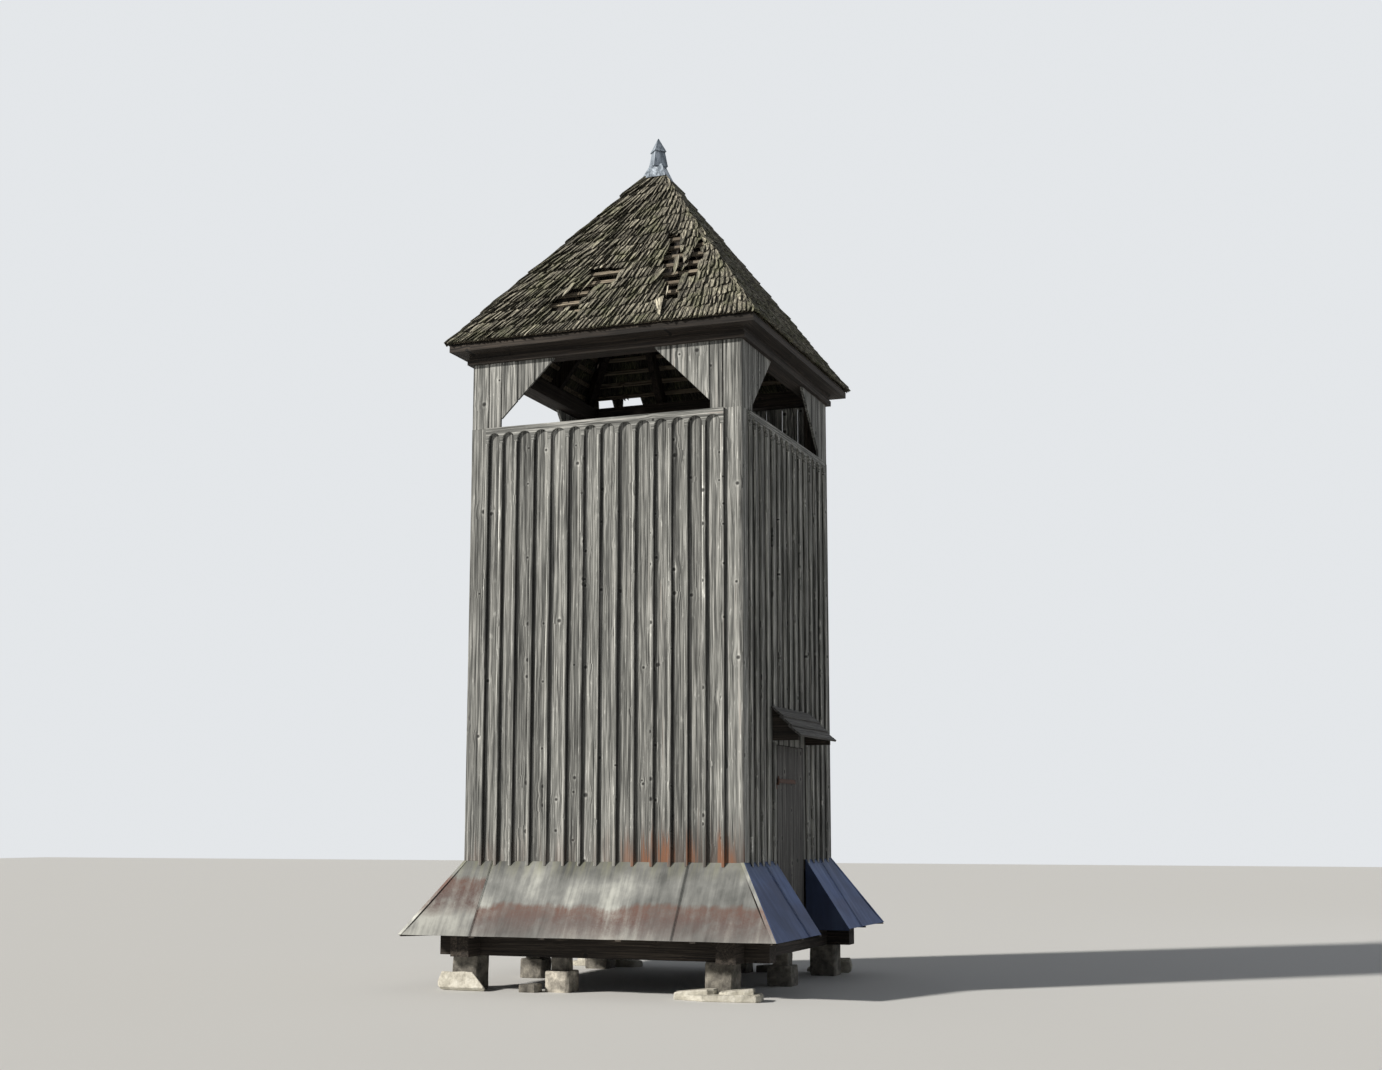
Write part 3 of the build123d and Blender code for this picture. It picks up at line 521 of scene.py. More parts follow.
# boards beside the belfry openings, cut to the slanting heads
belfry = {
    "shadeAndDirt": (0, 0, 0, -0.4, -0.3, 0, 0, -0.3, -0.4, 0),
    "shadeAndDirtWidth": 0.02,
    "gap": 0.008, "thin": 0.003,
    "tones": (0.3, 0.75),
    "lastJoint": 1.1,  # joints past this would leave a sliver at the opening's jamb
}
openingHalf = tower["openingHalf"]
topHalf = openingHalf - (tower["boardsTop"] - tower["openingHead"])


# Lower end of a board at x: the sill outside the opening, else head + (half width - |x|), a 45 degree slant
def slantedEnd(x, y):
    inside = np.abs(x) < openingHalf - 0.0005
    return np.where(inside, tower["openingHead"] + openingHalf - np.abs(x), openingSill)


for pair, word in sidePairs:
    parts = []
    for k in pair:
        rng = np.random.default_rng(80 + k)
        inner = joints[(joints > -belfry["lastJoint"]) & (joints < -topHalf)]
        left = np.array([-wallReach[k], joints[0], -openingHalf, *inner, -topHalf])
        inner = joints[(joints < belfry["lastJoint"]) & (joints > topHalf)]
        right = np.array([topHalf, *inner, openingHalf, joints[-1], wallReach[k]])
        for edges in (left, right):
            x0, x1 = edges[:-1] + belfry["gap"] / 2, edges[1:] - belfry["gap"] / 2
            face = half - belfry["thin"] * rng.random(len(x0))
            parts.append(bars(
                sideAxes(k), x0, x1, frameFace, face, slantedEnd, tower["boardsTop"], 90 + k, 4,
                rim=belfry["shadeAndDirtWidth"], tone=rng.uniform(*belfry["tones"], len(x0)), shade=belfry["shadeAndDirt"],
            ))
    makePiece("belfryBoards_" + word, boardWood, parts, "belfry_boards_" + word)

# scalloped boards: one blind arch between each two battens
scallops = {"band": 0.062, "drop": 0.022, "arcSteps": 14, "bevel": 0.004}
w = tower["battenWidth"] / 2
archHalf = (np.diff(joints) - 2 * w) / 2
archHead = openingSill - scallops["band"]
scallopBottom = archHead - archHalf.max() - scallops["drop"]
turn = np.linspace(0, math.pi, scallops["arcSteps"])[::-1]
outline = [(joints[0] - w, openingSill), (joints[0] - w, scallopBottom)]
for a, b, r in zip(joints, joints[1:], archHalf):
    x, z = (a + b) / 2 + r * np.cos(turn), archHead - r + r * np.sin(turn)
    outline += [(x[0], scallopBottom), *zip(x, z), (x[-1], scallopBottom)]
outline += [(joints[-1] + w, scallopBottom), (joints[-1] + w, openingSill)]
parts = [
    cutPlank(sideAxes(k), outline, half, half + tower["battenDepth"], 0.5 + 0.04 * k, 110 + k)
    for k in range(4)
]
piece = makePiece("scallopedBoards", boardWood, parts, "scalloped_boards")
bevel(piece, scallops["bevel"])

# battens, their feet cut to lie on the apron
battens = {
    # added tone: painted highlight and wear on a batten's left edge, painted shade on its right and low sides
    "highlightShadeAndWear": (-0.5, -0.5, -0.6, -0.3, 0.1, 0, 0.2, 0.85, 0.7, -0.3),
    "highlightWidth": 0.012, "chamfer": 0.005, "shrink": 0.003,
    "tones": (0.3, 0.62),
    "canopyHalf": 0.65, "overCanopy": 2.827, "underCanopy": 2.455, "doorClear": 0.514,
}


# Foot of a batten at y from the tower's middle: 1 mm over the apron's slope
def onApron(x, y):
    return boardsBottom - apronSlope * (y - half) + 0.001


for pair, word in sidePairs:
    parts = []
    for k in pair:
        rng = np.random.default_rng(120 + k)
        narrow = w - battens["shrink"] * rng.random(len(joints)) / 2
        tones = rng.uniform(*battens["tones"], len(joints))
        atCanopy = (np.abs(joints) <= battens["canopyHalf"] + tower["battenWidth"]) & (k == 1)
        groups = [(~atCanopy, onApron, scallopBottom)]
        if k == 1:
            besideDoor = atCanopy & (np.abs(joints) > battens["doorClear"])
            groups.append((atCanopy, battens["overCanopy"], scallopBottom))
            groups.append((besideDoor, onApron, battens["underCanopy"]))
        for index, (chosen, low, high) in enumerate(groups):
            x, r, seed = joints[chosen], narrow[chosen], 130 + 4 * index + k
            parts.append(bars(
                sideAxes(k), x - r, x + r, half, half + tower["battenDepth"], low, high, seed, 12,
                sway=0.0008, chamfer=battens["chamfer"], rim=battens["highlightWidth"],
                tone=tones[chosen], shade=battens["highlightShadeAndWear"],
            ))
    makePiece("coverBattens_" + word, boardWood, parts, "battens_" + word)
print("battens and scallops made")

# shingled slopes
roof = {
    "eaveHalf": 1.72, "eaveHeight": 6.64, "rise": 2.36,
    "course": 0.157,
    "bareHead": 0.12,  # no course starts nearer than this to the apex, which the cap hides
    "underTip": 0.05,
    "step": 0.013,  # how far a course rises over the one below
    "length": 0.37, "lengthShare": (0.85, 1.1),
    "shortest": 0.1,  # broken shingles below this length have fallen off
    "perCourse": 90,  # more than fit along the eaves
    "width": (0.036, 0.064), "widthMore": (-0.007, 0.003),
    "uneven": 0.024,  # spread of the butts up and down the slope
    "butt": 0.010, "tip": 0.004,  # thickness
    "jag": 0.015,
    "jagMost": 0.08,  # of the shingle's length
    "lift": 0.009, "curl": 0.013, "roll": (0.010, 0.032),
    "lean": (26, 14, 0, -18),  # degrees from up-slope at the places below
    "leanAt": (-0.9, -0.3, 0.4, 0.95),  # shares of the way from the middle to the hips
    "leanSpread": 2.2,
    "sliver": 0.008, "headWiden": 0.014, "ridge": 0.003, "hipPlay": (-0.006, 0.02),
    "looseLift": 0.016,
    "looseTilt": 0.3,  # share of the tilt that the other shingles have
    # pointed strips that have slid out of place on the front:
    # middle, lower end, width, lean in degrees, tone, length, point
    "loose": (
        (0.702, 0.058, 0.16, -20, 1.15, 0.31, 1.0), (0.70, 0.34, 0.03, -8, 1.2, 0.22, 0.5),
        (0.46, 0.55, 0.06, 16, 0.85, 0.34, 0.3), (0.706, 0.714, 0.06, -8, 0.8, 0.36, 0.4),
        (-0.52, 0.56, 0.07, 14, 1.1, 0.25, 0.3), (-0.33, 0.60, 0.04, 18, 0.8, 0.28, 0.4),
    ),
}
slopeAngle = math.atan2(roof["rise"], roof["eaveHalf"])
slopeLength = math.hypot(roof["rise"], roof["eaveHalf"])
# holes in the front and back slopes, as outlines: (distance right of the middle, distance up from the eaves)
holes = {
    0: (
        ((-0.35, 1.06), (0.0, 1.03), (0.02, 0.85), (-0.04, 0.72), (-0.27, 0.75)),
        ((-0.50, 0.74), (-0.215, 0.70), (-0.245, 0.555), (-0.515, 0.585)),
        ((-0.65, 0.525), (-0.495, 0.515), (-0.475, 0.36), (-0.615, 0.365)),
        ((-0.415, 0.465), (-0.325, 0.465), (-0.29, 0.31), (-0.375, 0.325)),
        (
            (0.45, 1.54), (0.59, 1.515), (0.67, 1.055), (0.77, 0.77),
            (0.775, 0.62), (0.585, 0.66), (0.49, 1.0), (0.54, 1.08),
        ),
        ((0.80, 1.38), (0.86, 1.37), (0.915, 1.06), (0.92, 0.68), (0.83, 0.70), (0.785, 1.02), (0.855, 1.07)),
        ((0.615, 0.515), (0.785, 0.505), (0.80, 0.335), (0.635, 0.35)),
    ),
    2: (
        ((1.225, 0.58), (1.41, 0.59), (1.34, 0.445)),
        ((1.225, 0.205), (1.33, 0.215), (1.44, 0.18), (1.42, 0.075), (1.29, 0.06)),
        ((0.85, 0.225), (1.0, 0.205), (1.12, 0.13), (1.01, 0.06), (0.87, 0.07)),
    ),
}


# Even-odd test of points against an outline: an edge counts where it passes the point's height to its right
def insideOutline(u, v, outline):
    outline = np.asarray(outline)
    count = np.zeros(u.shape, int)
    for (ua, va), (ub, vb) in zip(outline, np.roll(outline, -1, axis=0)):
        count += ((va > v) != (vb > v)) & (u < ua + (v - va) * (ub - ua) / (vb - va + 1e-12))
    return count % 2 == 1


# Shingle point(a, s): u = middle + a cos(lean) + s sin(lean), v = butt + s cos(lean) - a sin(lean), with
# jag(a) added to s at the butt; height = lift + curl (1 - s/length)^2 + roll a/width - step/course s, less a
# thickness tapering from butt to tip below. A shingle ends where it reaches a hole, and the loose ones come
# last, raised, less tilted and pointed.
def shingles(k):
    side, out, up = sideAxes(k)
    rng = np.random.default_rng(200 + k)
    uphill = -out * math.cos(slopeAngle) + up * math.sin(slopeAngle)
    normal = out * math.sin(slopeAngle) + up * math.cos(slopeAngle)
    origin = out * roof["eaveHalf"] + up * roof["eaveHeight"]
    mids, butts, widths = [], [], []
    courses = int((slopeLength - roof["bareHead"]) / roof["course"])
    for course in (0, *range(courses)):  # the course at the eaves is double
        v = course * roof["course"]
        reach = roof["eaveHalf"] - v * math.cos(slopeAngle)
        steps = rng.uniform(*roof["width"], roof["perCourse"])
        run = -reach - 0.03 + rng.uniform(0, 0.05) + np.cumsum(steps)
        keep = run - steps < reach
        mids.append((run - steps / 2)[keep])
        widths.append((steps + rng.uniform(*roof["widthMore"], roof["perCourse"]))[keep])
        butts.append(np.full(keep.sum(), v))
    mid, butt, width = (np.concatenate(v) for v in (mids, butts, widths))
    n = len(mid)
    butt = butt + rng.normal(0, roof["uneven"], n) * (butt > 0)
    reach = roof["eaveHalf"] - butt * math.cos(slopeAngle)
    lean = np.interp(mid / reach, roof["leanAt"], roof["lean"]) + rng.normal(0, roof["leanSpread"], n)
    lean = np.radians(lean)
    most = (slopeLength - roof["underTip"] - butt) / np.cos(lean)
    length = np.minimum(roof["length"] * rng.uniform(*roof["lengthShare"], n), most)

    # a shingle that reaches into a hole is broken off there, above the upper edge or else below the lower one
    share = np.linspace(0, 1, 20)
    s = share * length[:, None]
    inHole = np.zeros(s.shape, bool)
    for outline in holes.get(k, ()):
        for across in (-0.4, 0.4):
            u = mid + across * width * np.cos(lean)
            v = butt - across * width * np.sin(lean)
            u, v = u[:, None] + s * np.sin(lean)[:, None], v[:, None] + s * np.cos(lean)[:, None]
            inHole |= insideOutline(u, v, outline)
    hit = inHole.any(axis=1)
    first = np.where(hit, share[inHole.argmax(axis=1)], 1.0)
    last = np.where(hit, share[19 - inHole[:, ::-1].argmax(axis=1)], 0.0)
    fromHead = first > 1 - last
    cut = np.where(hit & ~fromHead, last, 0.0) * length  # what is lost at the butt
    length = length * np.where(fromHead, first, 1.0) - cut
    mid, butt = mid + cut * np.sin(lean), butt + cut * np.cos(lean)
    loose = np.array(roof["loose"] if k == 0 else np.zeros((0, 7)))
    table = np.stack([mid, butt, width, lean, length, cut], axis=1)[length > roof["shortest"]]
    looseTable = np.stack([*loose.T[:3], np.radians(loose[:, 3]), loose[:, 5], 0 * loose[:, 0]], axis=1)
    table = np.concatenate([table, looseTable]).T
    mid, butt, width, lean, length, cut = (column[:, None, None] for column in table)

    n = len(mid)
    slid = np.arange(n) >= n - len(loose)
    settled = ~slid[:, None, None]
    inner = rng.uniform(-0.08, 0.08, (n, 4)) * [0, 1, 1, 0]
    across = np.array([-0.5, -0.18, 0.16, 0.5, 0.5, -0.5]) + np.concatenate([inner, np.zeros((n, 2))], axis=1)
    across = across[:, None, :]
    along = np.array([0.0, 0.12, 0.45, 1.0])[:, None]
    jag = rng.normal(0, roof["jag"], (n, 6))
    jag[:, 4:] = jag[:, [3, 0]]
    jag = np.minimum(jag * np.where(butt[:, 0] > 0, 1.0, 0.6), roof["jagMost"] * length[:, 0])
    a = across * width * np.ones((n, 4, 1))
    # the butts narrow, the loose strips are pointed and the other, hidden heads close up
    a[:, 0] *= np.where(slid[:, None], 1.0, rng.uniform(0.6, 1.0, (n, 1)))
    a[slid] *= np.minimum(1, 0.08 + 0.92 * along / loose[:, 6:, None])
    a[:, 2:] += roof["headWiden"] * np.sign(across) * settled
    s = along * length + np.zeros((n, 4, 6))
    s[:, 0] += jag
    u = mid + a * np.cos(lean) + s * np.sin(lean)
    v = np.maximum(butt + s * np.cos(lean) - a * np.sin(lean), -0.03)
    lift = rng.uniform(0, roof["lift"], (n, 1, 1)) - roof["ridge"] + roof["looseLift"] * ~settled
    curl = rng.uniform(0, 1, (n, 1, 1)) ** 2 * roof["curl"] * (1 - along) ** 2
    roll = rng.uniform(*roof["roll"], (n, 1, 1)) * across
    ridge = rng.uniform(-roof["ridge"], roof["ridge"], (n, 4))
    ridge = np.concatenate([ridge, np.zeros((n, 2))], axis=1)[:, None, :]
    thick = roof["butt"] * rng.uniform(0.7, 1.2, (n, 1, 1)) * (1 - along) + roof["tip"] * along
    tilt = roof["step"] / roof["course"] * (s + cut) * np.where(settled, 1.0, roof["looseTilt"])
    height = lift + curl + roll + ridge - tilt - thick * np.array([0, 0, 0, 0, 1, 1])
    hipReach = roof["eaveHalf"] - v * math.cos(slopeAngle) + rng.uniform(*roof["hipPlay"], (n, 1, 1))
    u = np.clip(u, -hipReach, hipReach)
    points = origin + u[..., None] * side + v[..., None] * uphill + height[..., None] * normal
    grain = np.stack([a, height, s], axis=-1) + rng.uniform(-20, 20, (n, 1, 1, 3))
    tone = np.clip(rng.normal(0.5, 0.2, n), 0.08, 0.98)
    tone[slid] = loose[:, 4]
    # painted shade: each shingle's tone darker along its edges and black on its underside
    tone = tone[:, None, None] * np.array([0.35, 1.0, 1.0, 0.25, 0.0, 0.0]) * np.ones((n, 4, 1))
    whole = (u[:, :, 3] - u[:, :, 0]).mean(axis=1) > roof["sliver"]  # slivers at the hips are left out
    return tube(points[whole], grain[whole], tone[whole]), whole.sum()


for k, word in enumerate(sideNames):
    part, count = shingles(k)
    makePiece(word + "Shingles", shingleWood, [part], "roof_" + word)
    print(word, "slope:", count, "shingles")

# apron sheets
apron = {
    "sheet": 0.0015,
    "under": 0.0049,  # depth of the rafters' upper edges below the apron's outer face
    "sag": 0.009, "lap": 0.014,
    "over": 0.0018,  # how far the middle sheets lie over the outer ones
    "rib": (0.005, 0.009),  # half width and height of a folded seam
    "hipStrip": 0.035, "gapHalf": 0.515, "foot": 0.982,
    "hem": 0.535,  # height of the cheeks' lower edges beside the door
    "headDrop": 0.009,
    "rafters": (-1.15, -0.4, 0.4, 1.15),
    "doorRafters": (-1.15, -0.55, 0.55, 1.15),
    "seams": ((-1.18, 0.93), (-0.9, 1.02), (-0.95, 1.12), (-1.05, 0.96)),  # of each side
}
apronLength = math.hypot(tower["apronReach"], tower["apronDrop"])


# Strip of sheet between two lines down the slope: point(p, q) = left(q) + p (right(q) - left(q)) along, q
# down, height(x, q) over the rafters; the underside is the same, one sheet lower
def strip(k, left, right, height, columns, tone):
    side, out, up = sideAxes(k)
    down = out * tower["apronReach"] - up * tower["apronDrop"]
    normal = (out * apronSlope + up) / math.hypot(apronSlope, 1)
    p, q = np.meshgrid(np.linspace(0, 1, columns), np.array([*np.linspace(0, 0.97, 17), 1.0]) * apron["foot"])
    x = left(q) + p * (right(q) - left(q))
    h = height(x, q) - apron["under"]
    base = out * half + up * boardsBottom + x[..., None] * side + q[..., None] * down
    upper = base + (h + apron["sheet"])[..., None] * normal
    lower = base + h[..., None] * normal
    grid = np.arange(p.size).reshape(p.shape)
    faces = np.stack([grid[:-1, :-1], grid[1:, :-1], grid[1:, 1:], grid[:-1, 1:]], axis=-1).reshape(-1, 4)
    rim = np.concatenate([grid[0, :-1], grid[:-1, -1], grid[-1, :0:-1], grid[:0:-1, 0]])
    after = np.roll(rim, -1)
    edge = np.stack([rim, after, after + p.size, rim + p.size], axis=1)
    grain = np.stack([x, h, q * apronLength], axis=-1).reshape(-1, 3)
    return {
        "points": np.concatenate([upper.reshape(-1, 3), lower.reshape(-1, 3)]),
        "faces": np.concatenate([faces, faces[:, ::-1] + p.size, edge]).tolist(),
        "grain": np.tile(grain, (2, 1)),
        "tone": np.full(2 * p.size, tone),
    }


# Height of a sheet: rise, less sag * (1 - e^(-(x - rafter)^2 / 0.01)) for each rafter * (0.5 + two waves) *
# a sine that is greatest halfway down, and a small wave along the foot
def slack(rafters, rise, seed):
    phase = np.random.default_rng(seed).uniform(0, 2 * math.pi, 4)

    def height(x, q):
        bare = np.prod([1 - np.exp(-((x - r) ** 2) / 0.01) for r in rafters], axis=0)
        waves = np.sin(5.2 * x + phase[0] + 2.1 * q) + np.sin(3.3 * q + phase[1] + 8.7 * x)
        edge = 0.0016 * np.sin(9.5 * x + phase[2]) * q ** 4
        bulge = np.sin(math.pi * np.clip(q * 0.9 + 0.06, 0, 1))
        return rise - apron["sag"] * bare * (0.5 + 0.25 * waves) * bulge + edge
    return height


# Lines down the slope: a hip, moved in by inset, and a straight seam at x
def hipLine(sign, inset=0.0):
    return lambda q: sign * (half + tower["apronReach"] * q - inset)


def seamLine(x):
    return lambda q: x + 0 * q


# Cheek that closes the sheets' ends beside the door: a triangle under the apron, one sheet thick from x
def cheek(k, x):
    head, hem = boardsBottom - apron["headDrop"], apron["hem"]
    corners = ((half, head), (half, hem), (half + (head - hem) / apronSlope, hem))
    local = np.array([(x + depth, *corner) for depth in (0, apron["sheet"]) for corner in corners])
    points = local @ sideAxes(k)
    faces = [[0, 1, 2], [5, 4, 3], [0, 3, 4, 1], [1, 4, 5, 2], [2, 5, 3, 0]]
    # its low tone is painted shade
    return {"points": points, "faces": faces, "grain": points, "tone": np.full(6, 0.15)}


for k, word in enumerate(sideNames):
    a, b = apron["seams"][k]
    lap, over, gap = apron["lap"], apron["over"], apron["gapHalf"]
    onDoor = word == "right"
    rafters = apron["doorRafters" if onDoor else "rafters"]
    spans = [(hipLine(-1), seamLine(a + lap), 0.0), (seamLine(b - lap), hipLine(1), 0.0)]
    if onDoor:
        spans += [(seamLine(a - lap), seamLine(-gap), over), (seamLine(gap), seamLine(b + lap), over)]
    else:
        spans.append((seamLine(a - lap), seamLine(b + lap), over))
    parts = [
        strip(k, left, right, slack(rafters, rise, 300 + k), 41, 0.46 + 0.05 * i)
        for i, (left, right, rise) in enumerate(spans)
    ]
    # folded seams in painted shadow with a painted highlight beside, and a capping strip on both sides of
    # each hip
    ribHalf, ribHigh = apron["rib"]
    lay = slack(rafters, over + apron["sheet"], 300 + k)
    for x in (a, b):
        fold, inner, outer = (seamLine(x + times * ribHalf) for times in (-1, 1, 3))
        parts.append(strip(k, fold, inner, lambda x, q: lay(x, q) + ribHigh, 3, 0.12))
        parts.append(strip(k, inner, outer, lambda x, q: lay(x, q) + 0.0008, 3, 0.8))
    for edges in ((hipLine(-1), hipLine(-1, apron["hipStrip"])), (hipLine(1, apron["hipStrip"]), hipLine(1))):
        parts.append(strip(k, *edges, lambda x, q: 0 * x + over + apron["sheet"], 5, 0.85))
    if onDoor:
        parts += [cheek(k, -gap), cheek(k, gap - apron["sheet"])]
    sheet = shadedSheet if onDoor else sunnySheet
    makePiece(word + "ApronSheets", sheet, parts, "apron_" + word)
print("apron made")

# feet: rough stones and blocks, with broken slabs lying against them
feet = {
    "clearance": 0.335, "line": 1.4,
    "cornerX": 1.25, "endX": 1.45, "corner": 0.3,
    "middleX": 0.44, "middle": 0.28, "middleHigh": 0.205, "packer": 0.18,
    "waves": 0.012,
    "rings": (0, 0.06, 0.25, 0.5, 0.75, 0.94, 1.0),  # heights of a block's rings, and their widths below
    "ringWidths": (0.97, 1.0, 1.0, 1.0, 1.0, 0.99, 0.95),
}


# Superellipse: (sign(cos t) |cos t|^power, sign(sin t) |sin t|^power)
def superellipse(t, power):
    return (np.sign(v) * np.abs(v) ** power for v in (np.cos(t), np.sin(t)))


# Rough block: ring point(s, t) = half size * superellipse(t) * (1 + small waves), carried from z0 up to z1
def roughBlock(x, y, z0, z1, size, seed, tone):
    t = np.linspace(0, 2 * math.pi, 28, endpoint=False)
    s = np.array(feet["rings"])[:, None]
    cx, cy = superellipse(t, 0.24)
    phase = np.random.default_rng(seed).uniform(0, 6.28, 4)
    waves = np.sin(3 * t + phase[0] + 4 * s) + np.sin(5 * t + phase[1] - 5 * s) + np.sin(7 * t + phase[2])
    scale = (0.955 + feet["waves"] * waves) * np.array(feet["ringWidths"])[:, None]
    pz = np.broadcast_to(z0 + s * (z1 - z0), scale.shape)
    points = np.stack([x + size / 2 * cx * scale, y + size / 2 * cy * scale, pz], axis=-1)
    return tube(points[None], tone=tone)


# Broken slab: ring(t) = half size * superellipse(t) * (1 - shards), top height = thick + rise * place across
def brokenSlab(x, y, sizeX, sizeY, thick, rise, seed, tone=0.5):
    rng = np.random.default_rng(seed)
    t = np.linspace(0, 2 * math.pi, 11, endpoint=False) + rng.uniform(-0.2, 0.2, 11)
    s = np.array([0, 0.15, 0.85, 1.0])[:, None]
    scale = rng.uniform(0.78, 1.0, 11) * np.array([0.97, 1.0, 0.99, 0.95])[:, None]
    cx, cy = (c * scale for c in superellipse(t, 0.6))
    pz = s * (thick + rise * cx + rng.uniform(-0.006, 0.006, 11))
    points = np.stack([x + sizeX / 2 * cx, y + sizeY / 2 * cy, pz], axis=-1)
    return tube(points[None], tone=tone)


line, endX, cornerX = feet["line"], feet["endX"], feet["cornerX"]
corners = ((-endX, -line), (cornerX, -line), (endX, line), (-cornerX, line))
stones = [
    roughBlock(x, y, 0, feet["clearance"], feet["corner"], 400 + i, 0.42)
    for i, (x, y) in enumerate(corners)
]
middles = ((-feet["middleX"], -line), (feet["middleX"], line), (-line, 0), (line, 0))
for i, (x, y) in enumerate(middles):  # a block, pale at the front, with a packer on it
    stones.append(roughBlock(x, y, 0, feet["middleHigh"], feet["middle"], 410 + i, 1.7 if i == 0 else 0.5))
    stones.append(roughBlock(x, y, feet["middleHigh"], feet["clearance"], feet["packer"], 420 + i, 0.35))
for turn in (1, -1):  # a low stone beside the middle block, front and back
    stones.append(brokenSlab(-0.71 * turn, -1.55 * turn, 0.25, 0.2, 0.075, 0.01, 470, 0.25))
makePiece("footStones", fieldStone, stones, "foundation_stones")

leaning = {
    "width": 0.47, "foot": 0.12, "rise": 0.15, "thick": 0.054,
    "layers": ((0.0, 0.985), (0.25, 1.0), (0.8, 1.0), (1.0, 0.97)),  # shares of its thickness and outline
    # the outline, as shares of the width from the middle and of the length up the slab
    "outline": (
        (-0.4, 0.02082), (0.1, 0.0), (0.62, 0.01562), (0.64, 0.1), (0.43, 0.58), (0.25, 0.97),
        (0.02, 1.0), (-0.24, 0.96), (-0.49, 0.99), (-0.5, 0.4), (-0.46, 0.13),
    ),
}


# Slab leaning on a corner stone: outline point + s thick along the slab's normal, turned 0 or 180 degrees
def leaningSlab(turn):
    foot, rise = leaning["foot"], leaning["rise"]
    run = math.hypot(foot, rise)
    axes = np.array([[1, 0, 0], [0, foot / run, rise / run], [0, -rise / run, foot / run]])
    outline = np.array(leaning["outline"]) * (leaning["width"], run)
    middle = outline.mean(axis=0)
    depth, width = np.array(leaning["layers"]).T[..., None, None]
    flat = middle + (outline - middle) * width
    depth = depth * leaning["thick"] + 0 * flat[..., :1]
    start = (-endX, -line - feet["corner"] / 2 - foot, 0)
    points = (start + np.concatenate([flat, depth], axis=-1) @ axes) * (turn, turn, 1)
    return tube(points[None], tone=0.62)


slabs = []
for turn in (1, -1):  # front and back, against the corner stones
    slabs.append(leaningSlab(turn))
    for number, (x, y, sizeX, sizeY, thick, rise) in enumerate((
        (0.12, 1.73, 0.86, 0.3, 0.06, 0.012),
        (-0.16, 1.69, 0.5, 0.24, 0.09, 0.03 * turn),
        (0.24, 1.7, 0.4, 0.22, 0.1, 0.02 * turn),
    )):
        x, y = turn * (cornerX + x), -turn * y
        slabs.append(brokenSlab(x, y, sizeX, sizeY, thick, rise, 440 + 10 * number + turn))
bevel(makePiece("brokenSlabs", slabStone, slabs, "foot_slabs"), 0.008)
print("feet made")

# door leaf: upright boards on three ledges
door = {
    "half": 0.442, "low": 0.547, "high": 2.432, "inner": 1.477, "outer": 1.499,
    "boards": 5, "gap": 0.004, "uneven": 0.012,
    "ledge": 0.12, "ledgeHalf": 0.408, "ledgeDepth": 0.03,
}
side, out, up = sideAxes(1)
rng = np.random.default_rng(500)
edges = np.linspace(-door["half"], door["half"], door["boards"] + 1)
edges[1:-1] += rng.uniform(-door["uneven"], door["uneven"], door["boards"] - 1)
x0, x1 = edges[:-1] + door["gap"] / 2, edges[1:] - door["gap"] / 2
inner, low, high, ledge = door["inner"], door["low"], door["high"], door["ledge"]
tones = rng.uniform(0.35, 0.65, len(x0))
middles = np.array([low + ledge, (low + high) / 2, high - ledge])
parts = [
    bars((side, out, up), x0, x1, inner, door["outer"], low, high, 501, 6, chamfer=0.002, tone=tones),
    bars(
        (up, out, side), middles - ledge / 2, middles + ledge / 2, inner - door["ledgeDepth"], inner,
        -door["ledgeHalf"], door["ledgeHalf"], 502, 3, chamfer=0.004,
    ),
]
makePiece("doorLeafBoards", doorWood, parts, "door_leaf", "door")

# canopy over the door: lapped boards, each tilted by its own thickness to lie on the next one down
canopy = {"half": 0.65, "reach": 0.29, "drop": 0.31, "top": 2.805, "board": 0.022, "count": 3, "lap": 0.03}
angle = math.atan2(canopy["drop"], canopy["reach"])
step = (math.hypot(canopy["drop"], canopy["reach"]) - canopy["lap"]) / canopy["count"]
downhill = out * math.cos(angle) - up * math.sin(angle)
raised = out * math.sin(angle) + up * math.cos(angle)
wide = step + canopy["lap"]
tilt = math.atan2(canopy["board"], wide)
axes = (
    downhill * math.cos(tilt) + raised * math.sin(tilt),
    raised * math.cos(tilt) - downhill * math.sin(tilt),
    side,
)
parts = []
for i in range(canopy["count"]):
    board = bars(
        axes, 0.0, wide / math.cos(tilt), 0.0, canopy["board"] * 0.95, -canopy["half"], canopy["half"],
        510 + i, 6, sway=0.001, tone=0.45 + 0.08 * i,
    )
    board["points"] += out * half + up * canopy["top"] + downhill * i * step
    parts.append(board)
makePiece("canopyBoards", doorWood, parts, "canopy_roof")
print("door and canopy made")

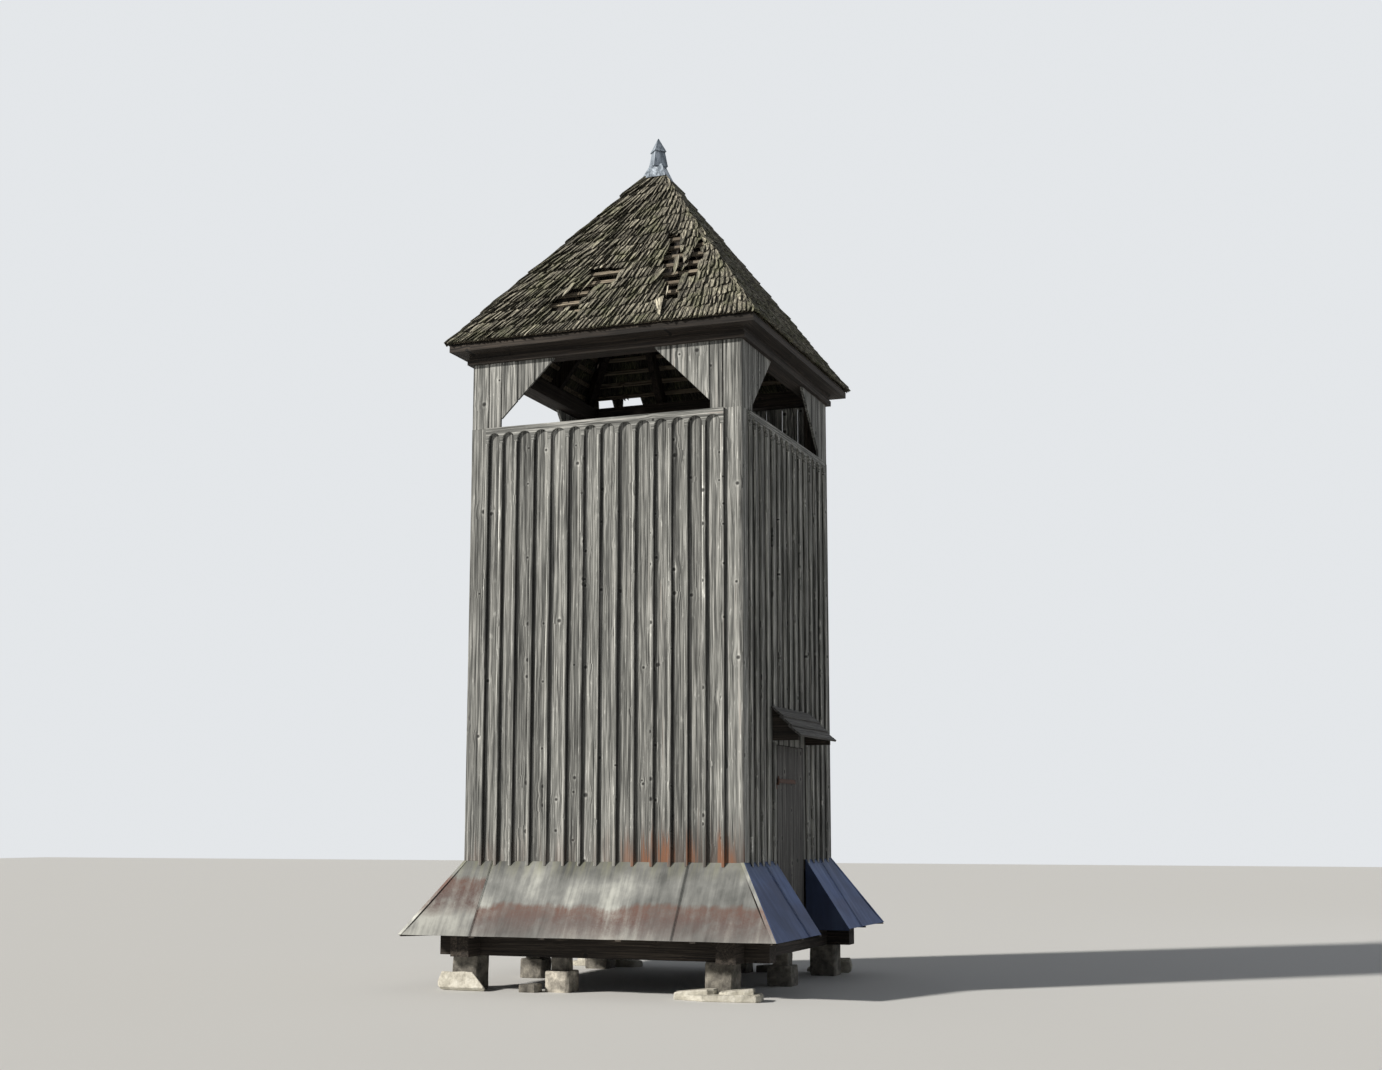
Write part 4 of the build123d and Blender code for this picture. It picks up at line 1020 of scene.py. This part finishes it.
# stage: floor, light and camera
stage = {
    "floor": 60,
    "floorColour": "#DCDCDA",
    "sky": ("#E8ECF2", 0.14),  # colour and strength of the light from all round
    "seen": ("#E9ECEF", 0.95),  # the same as the camera and glossy surfaces see it
    "lamps": {  # kind, place, what it is aimed at, size, power and colour
        "key": ("SUN", (-15.0, -13.5, 15.0), (0, 0, 4.6), 0.07, 4.4, "#FFFAF2"),
        "fill": ("AREA", (15.0, 9.0, 9.0), (0, 0, 4.0), 9.0, 120, "#EDF2FF"),
    },
    # standing height and a 45 mm lens, as worked out from the edges of the photo
    "camera": {"place": (6.917, -17.297, 1.6), "tilt": 98.32, "turn": 20.66, "lens": 45.0, "shift": 0.029},
}
r = stage["floor"]
floorMaterial = newMaterial("paleFloor")[0]
finish(floorMaterial, {"Base Color": linear(stage["floorColour"]), "Roughness": 0.95})
mesh = bpy.data.meshes.new("floor")
mesh.from_pydata([(-r, -r, 0), (r, -r, 0), (r, r, 0), (-r, r, 0)], [], [(0, 1, 2, 3)])
mesh.materials.append(floorMaterial)
addObject("floor", mesh)

world = bpy.data.worlds.new("softSky")
bpy.context.scene.world = world
world.use_nodes = True
tree = world.node_tree
add = partial(addNode, tree)
sky = tree.nodes["Background"]
setInputs(sky, (linear(stage["sky"][0]), stage["sky"][1]))
seen = add("Background", (linear(stage["seen"][0]), stage["seen"][1]))
ray = add("LightPath").outputs
either = add("Math", (ray["Is Camera Ray"], ray["Is Glossy Ray"]), "MAXIMUM")
setInputs(tree.nodes["World Output"], {"Surface": add("MixShader", (either, sky, seen))})

for name, (kind, place, aim, size, power, colour) in stage["lamps"].items():
    light = bpy.data.lights.new(name, kind)
    if kind == "SUN":
        light.angle = size
    else:
        light.shape = "DISK"
        light.size = size
    light.energy = power
    light.color = linear(colour)[:3]
    thing = addObject(name, light)
    x, y, z = np.subtract(aim, place)
    thing.location = place
    thing.rotation_euler = (math.atan2(math.hypot(x, y), -z), 0, math.atan2(-x, y))

view = stage["camera"]
cameraData = bpy.data.cameras.new("camera")
cameraData.lens = view["lens"]
cameraData.sensor_width = 36.0
cameraData.shift_y = view["shift"]
cameraData.clip_end = 200
camera = addObject("camera", cameraData)
camera.location = view["place"]
camera.rotation_euler = (math.radians(view["tilt"]), 0, math.radians(view["turn"]))
bpy.context.scene.camera = camera
bpy.context.scene.view_settings.view_transform = "Standard"
print("stage set")
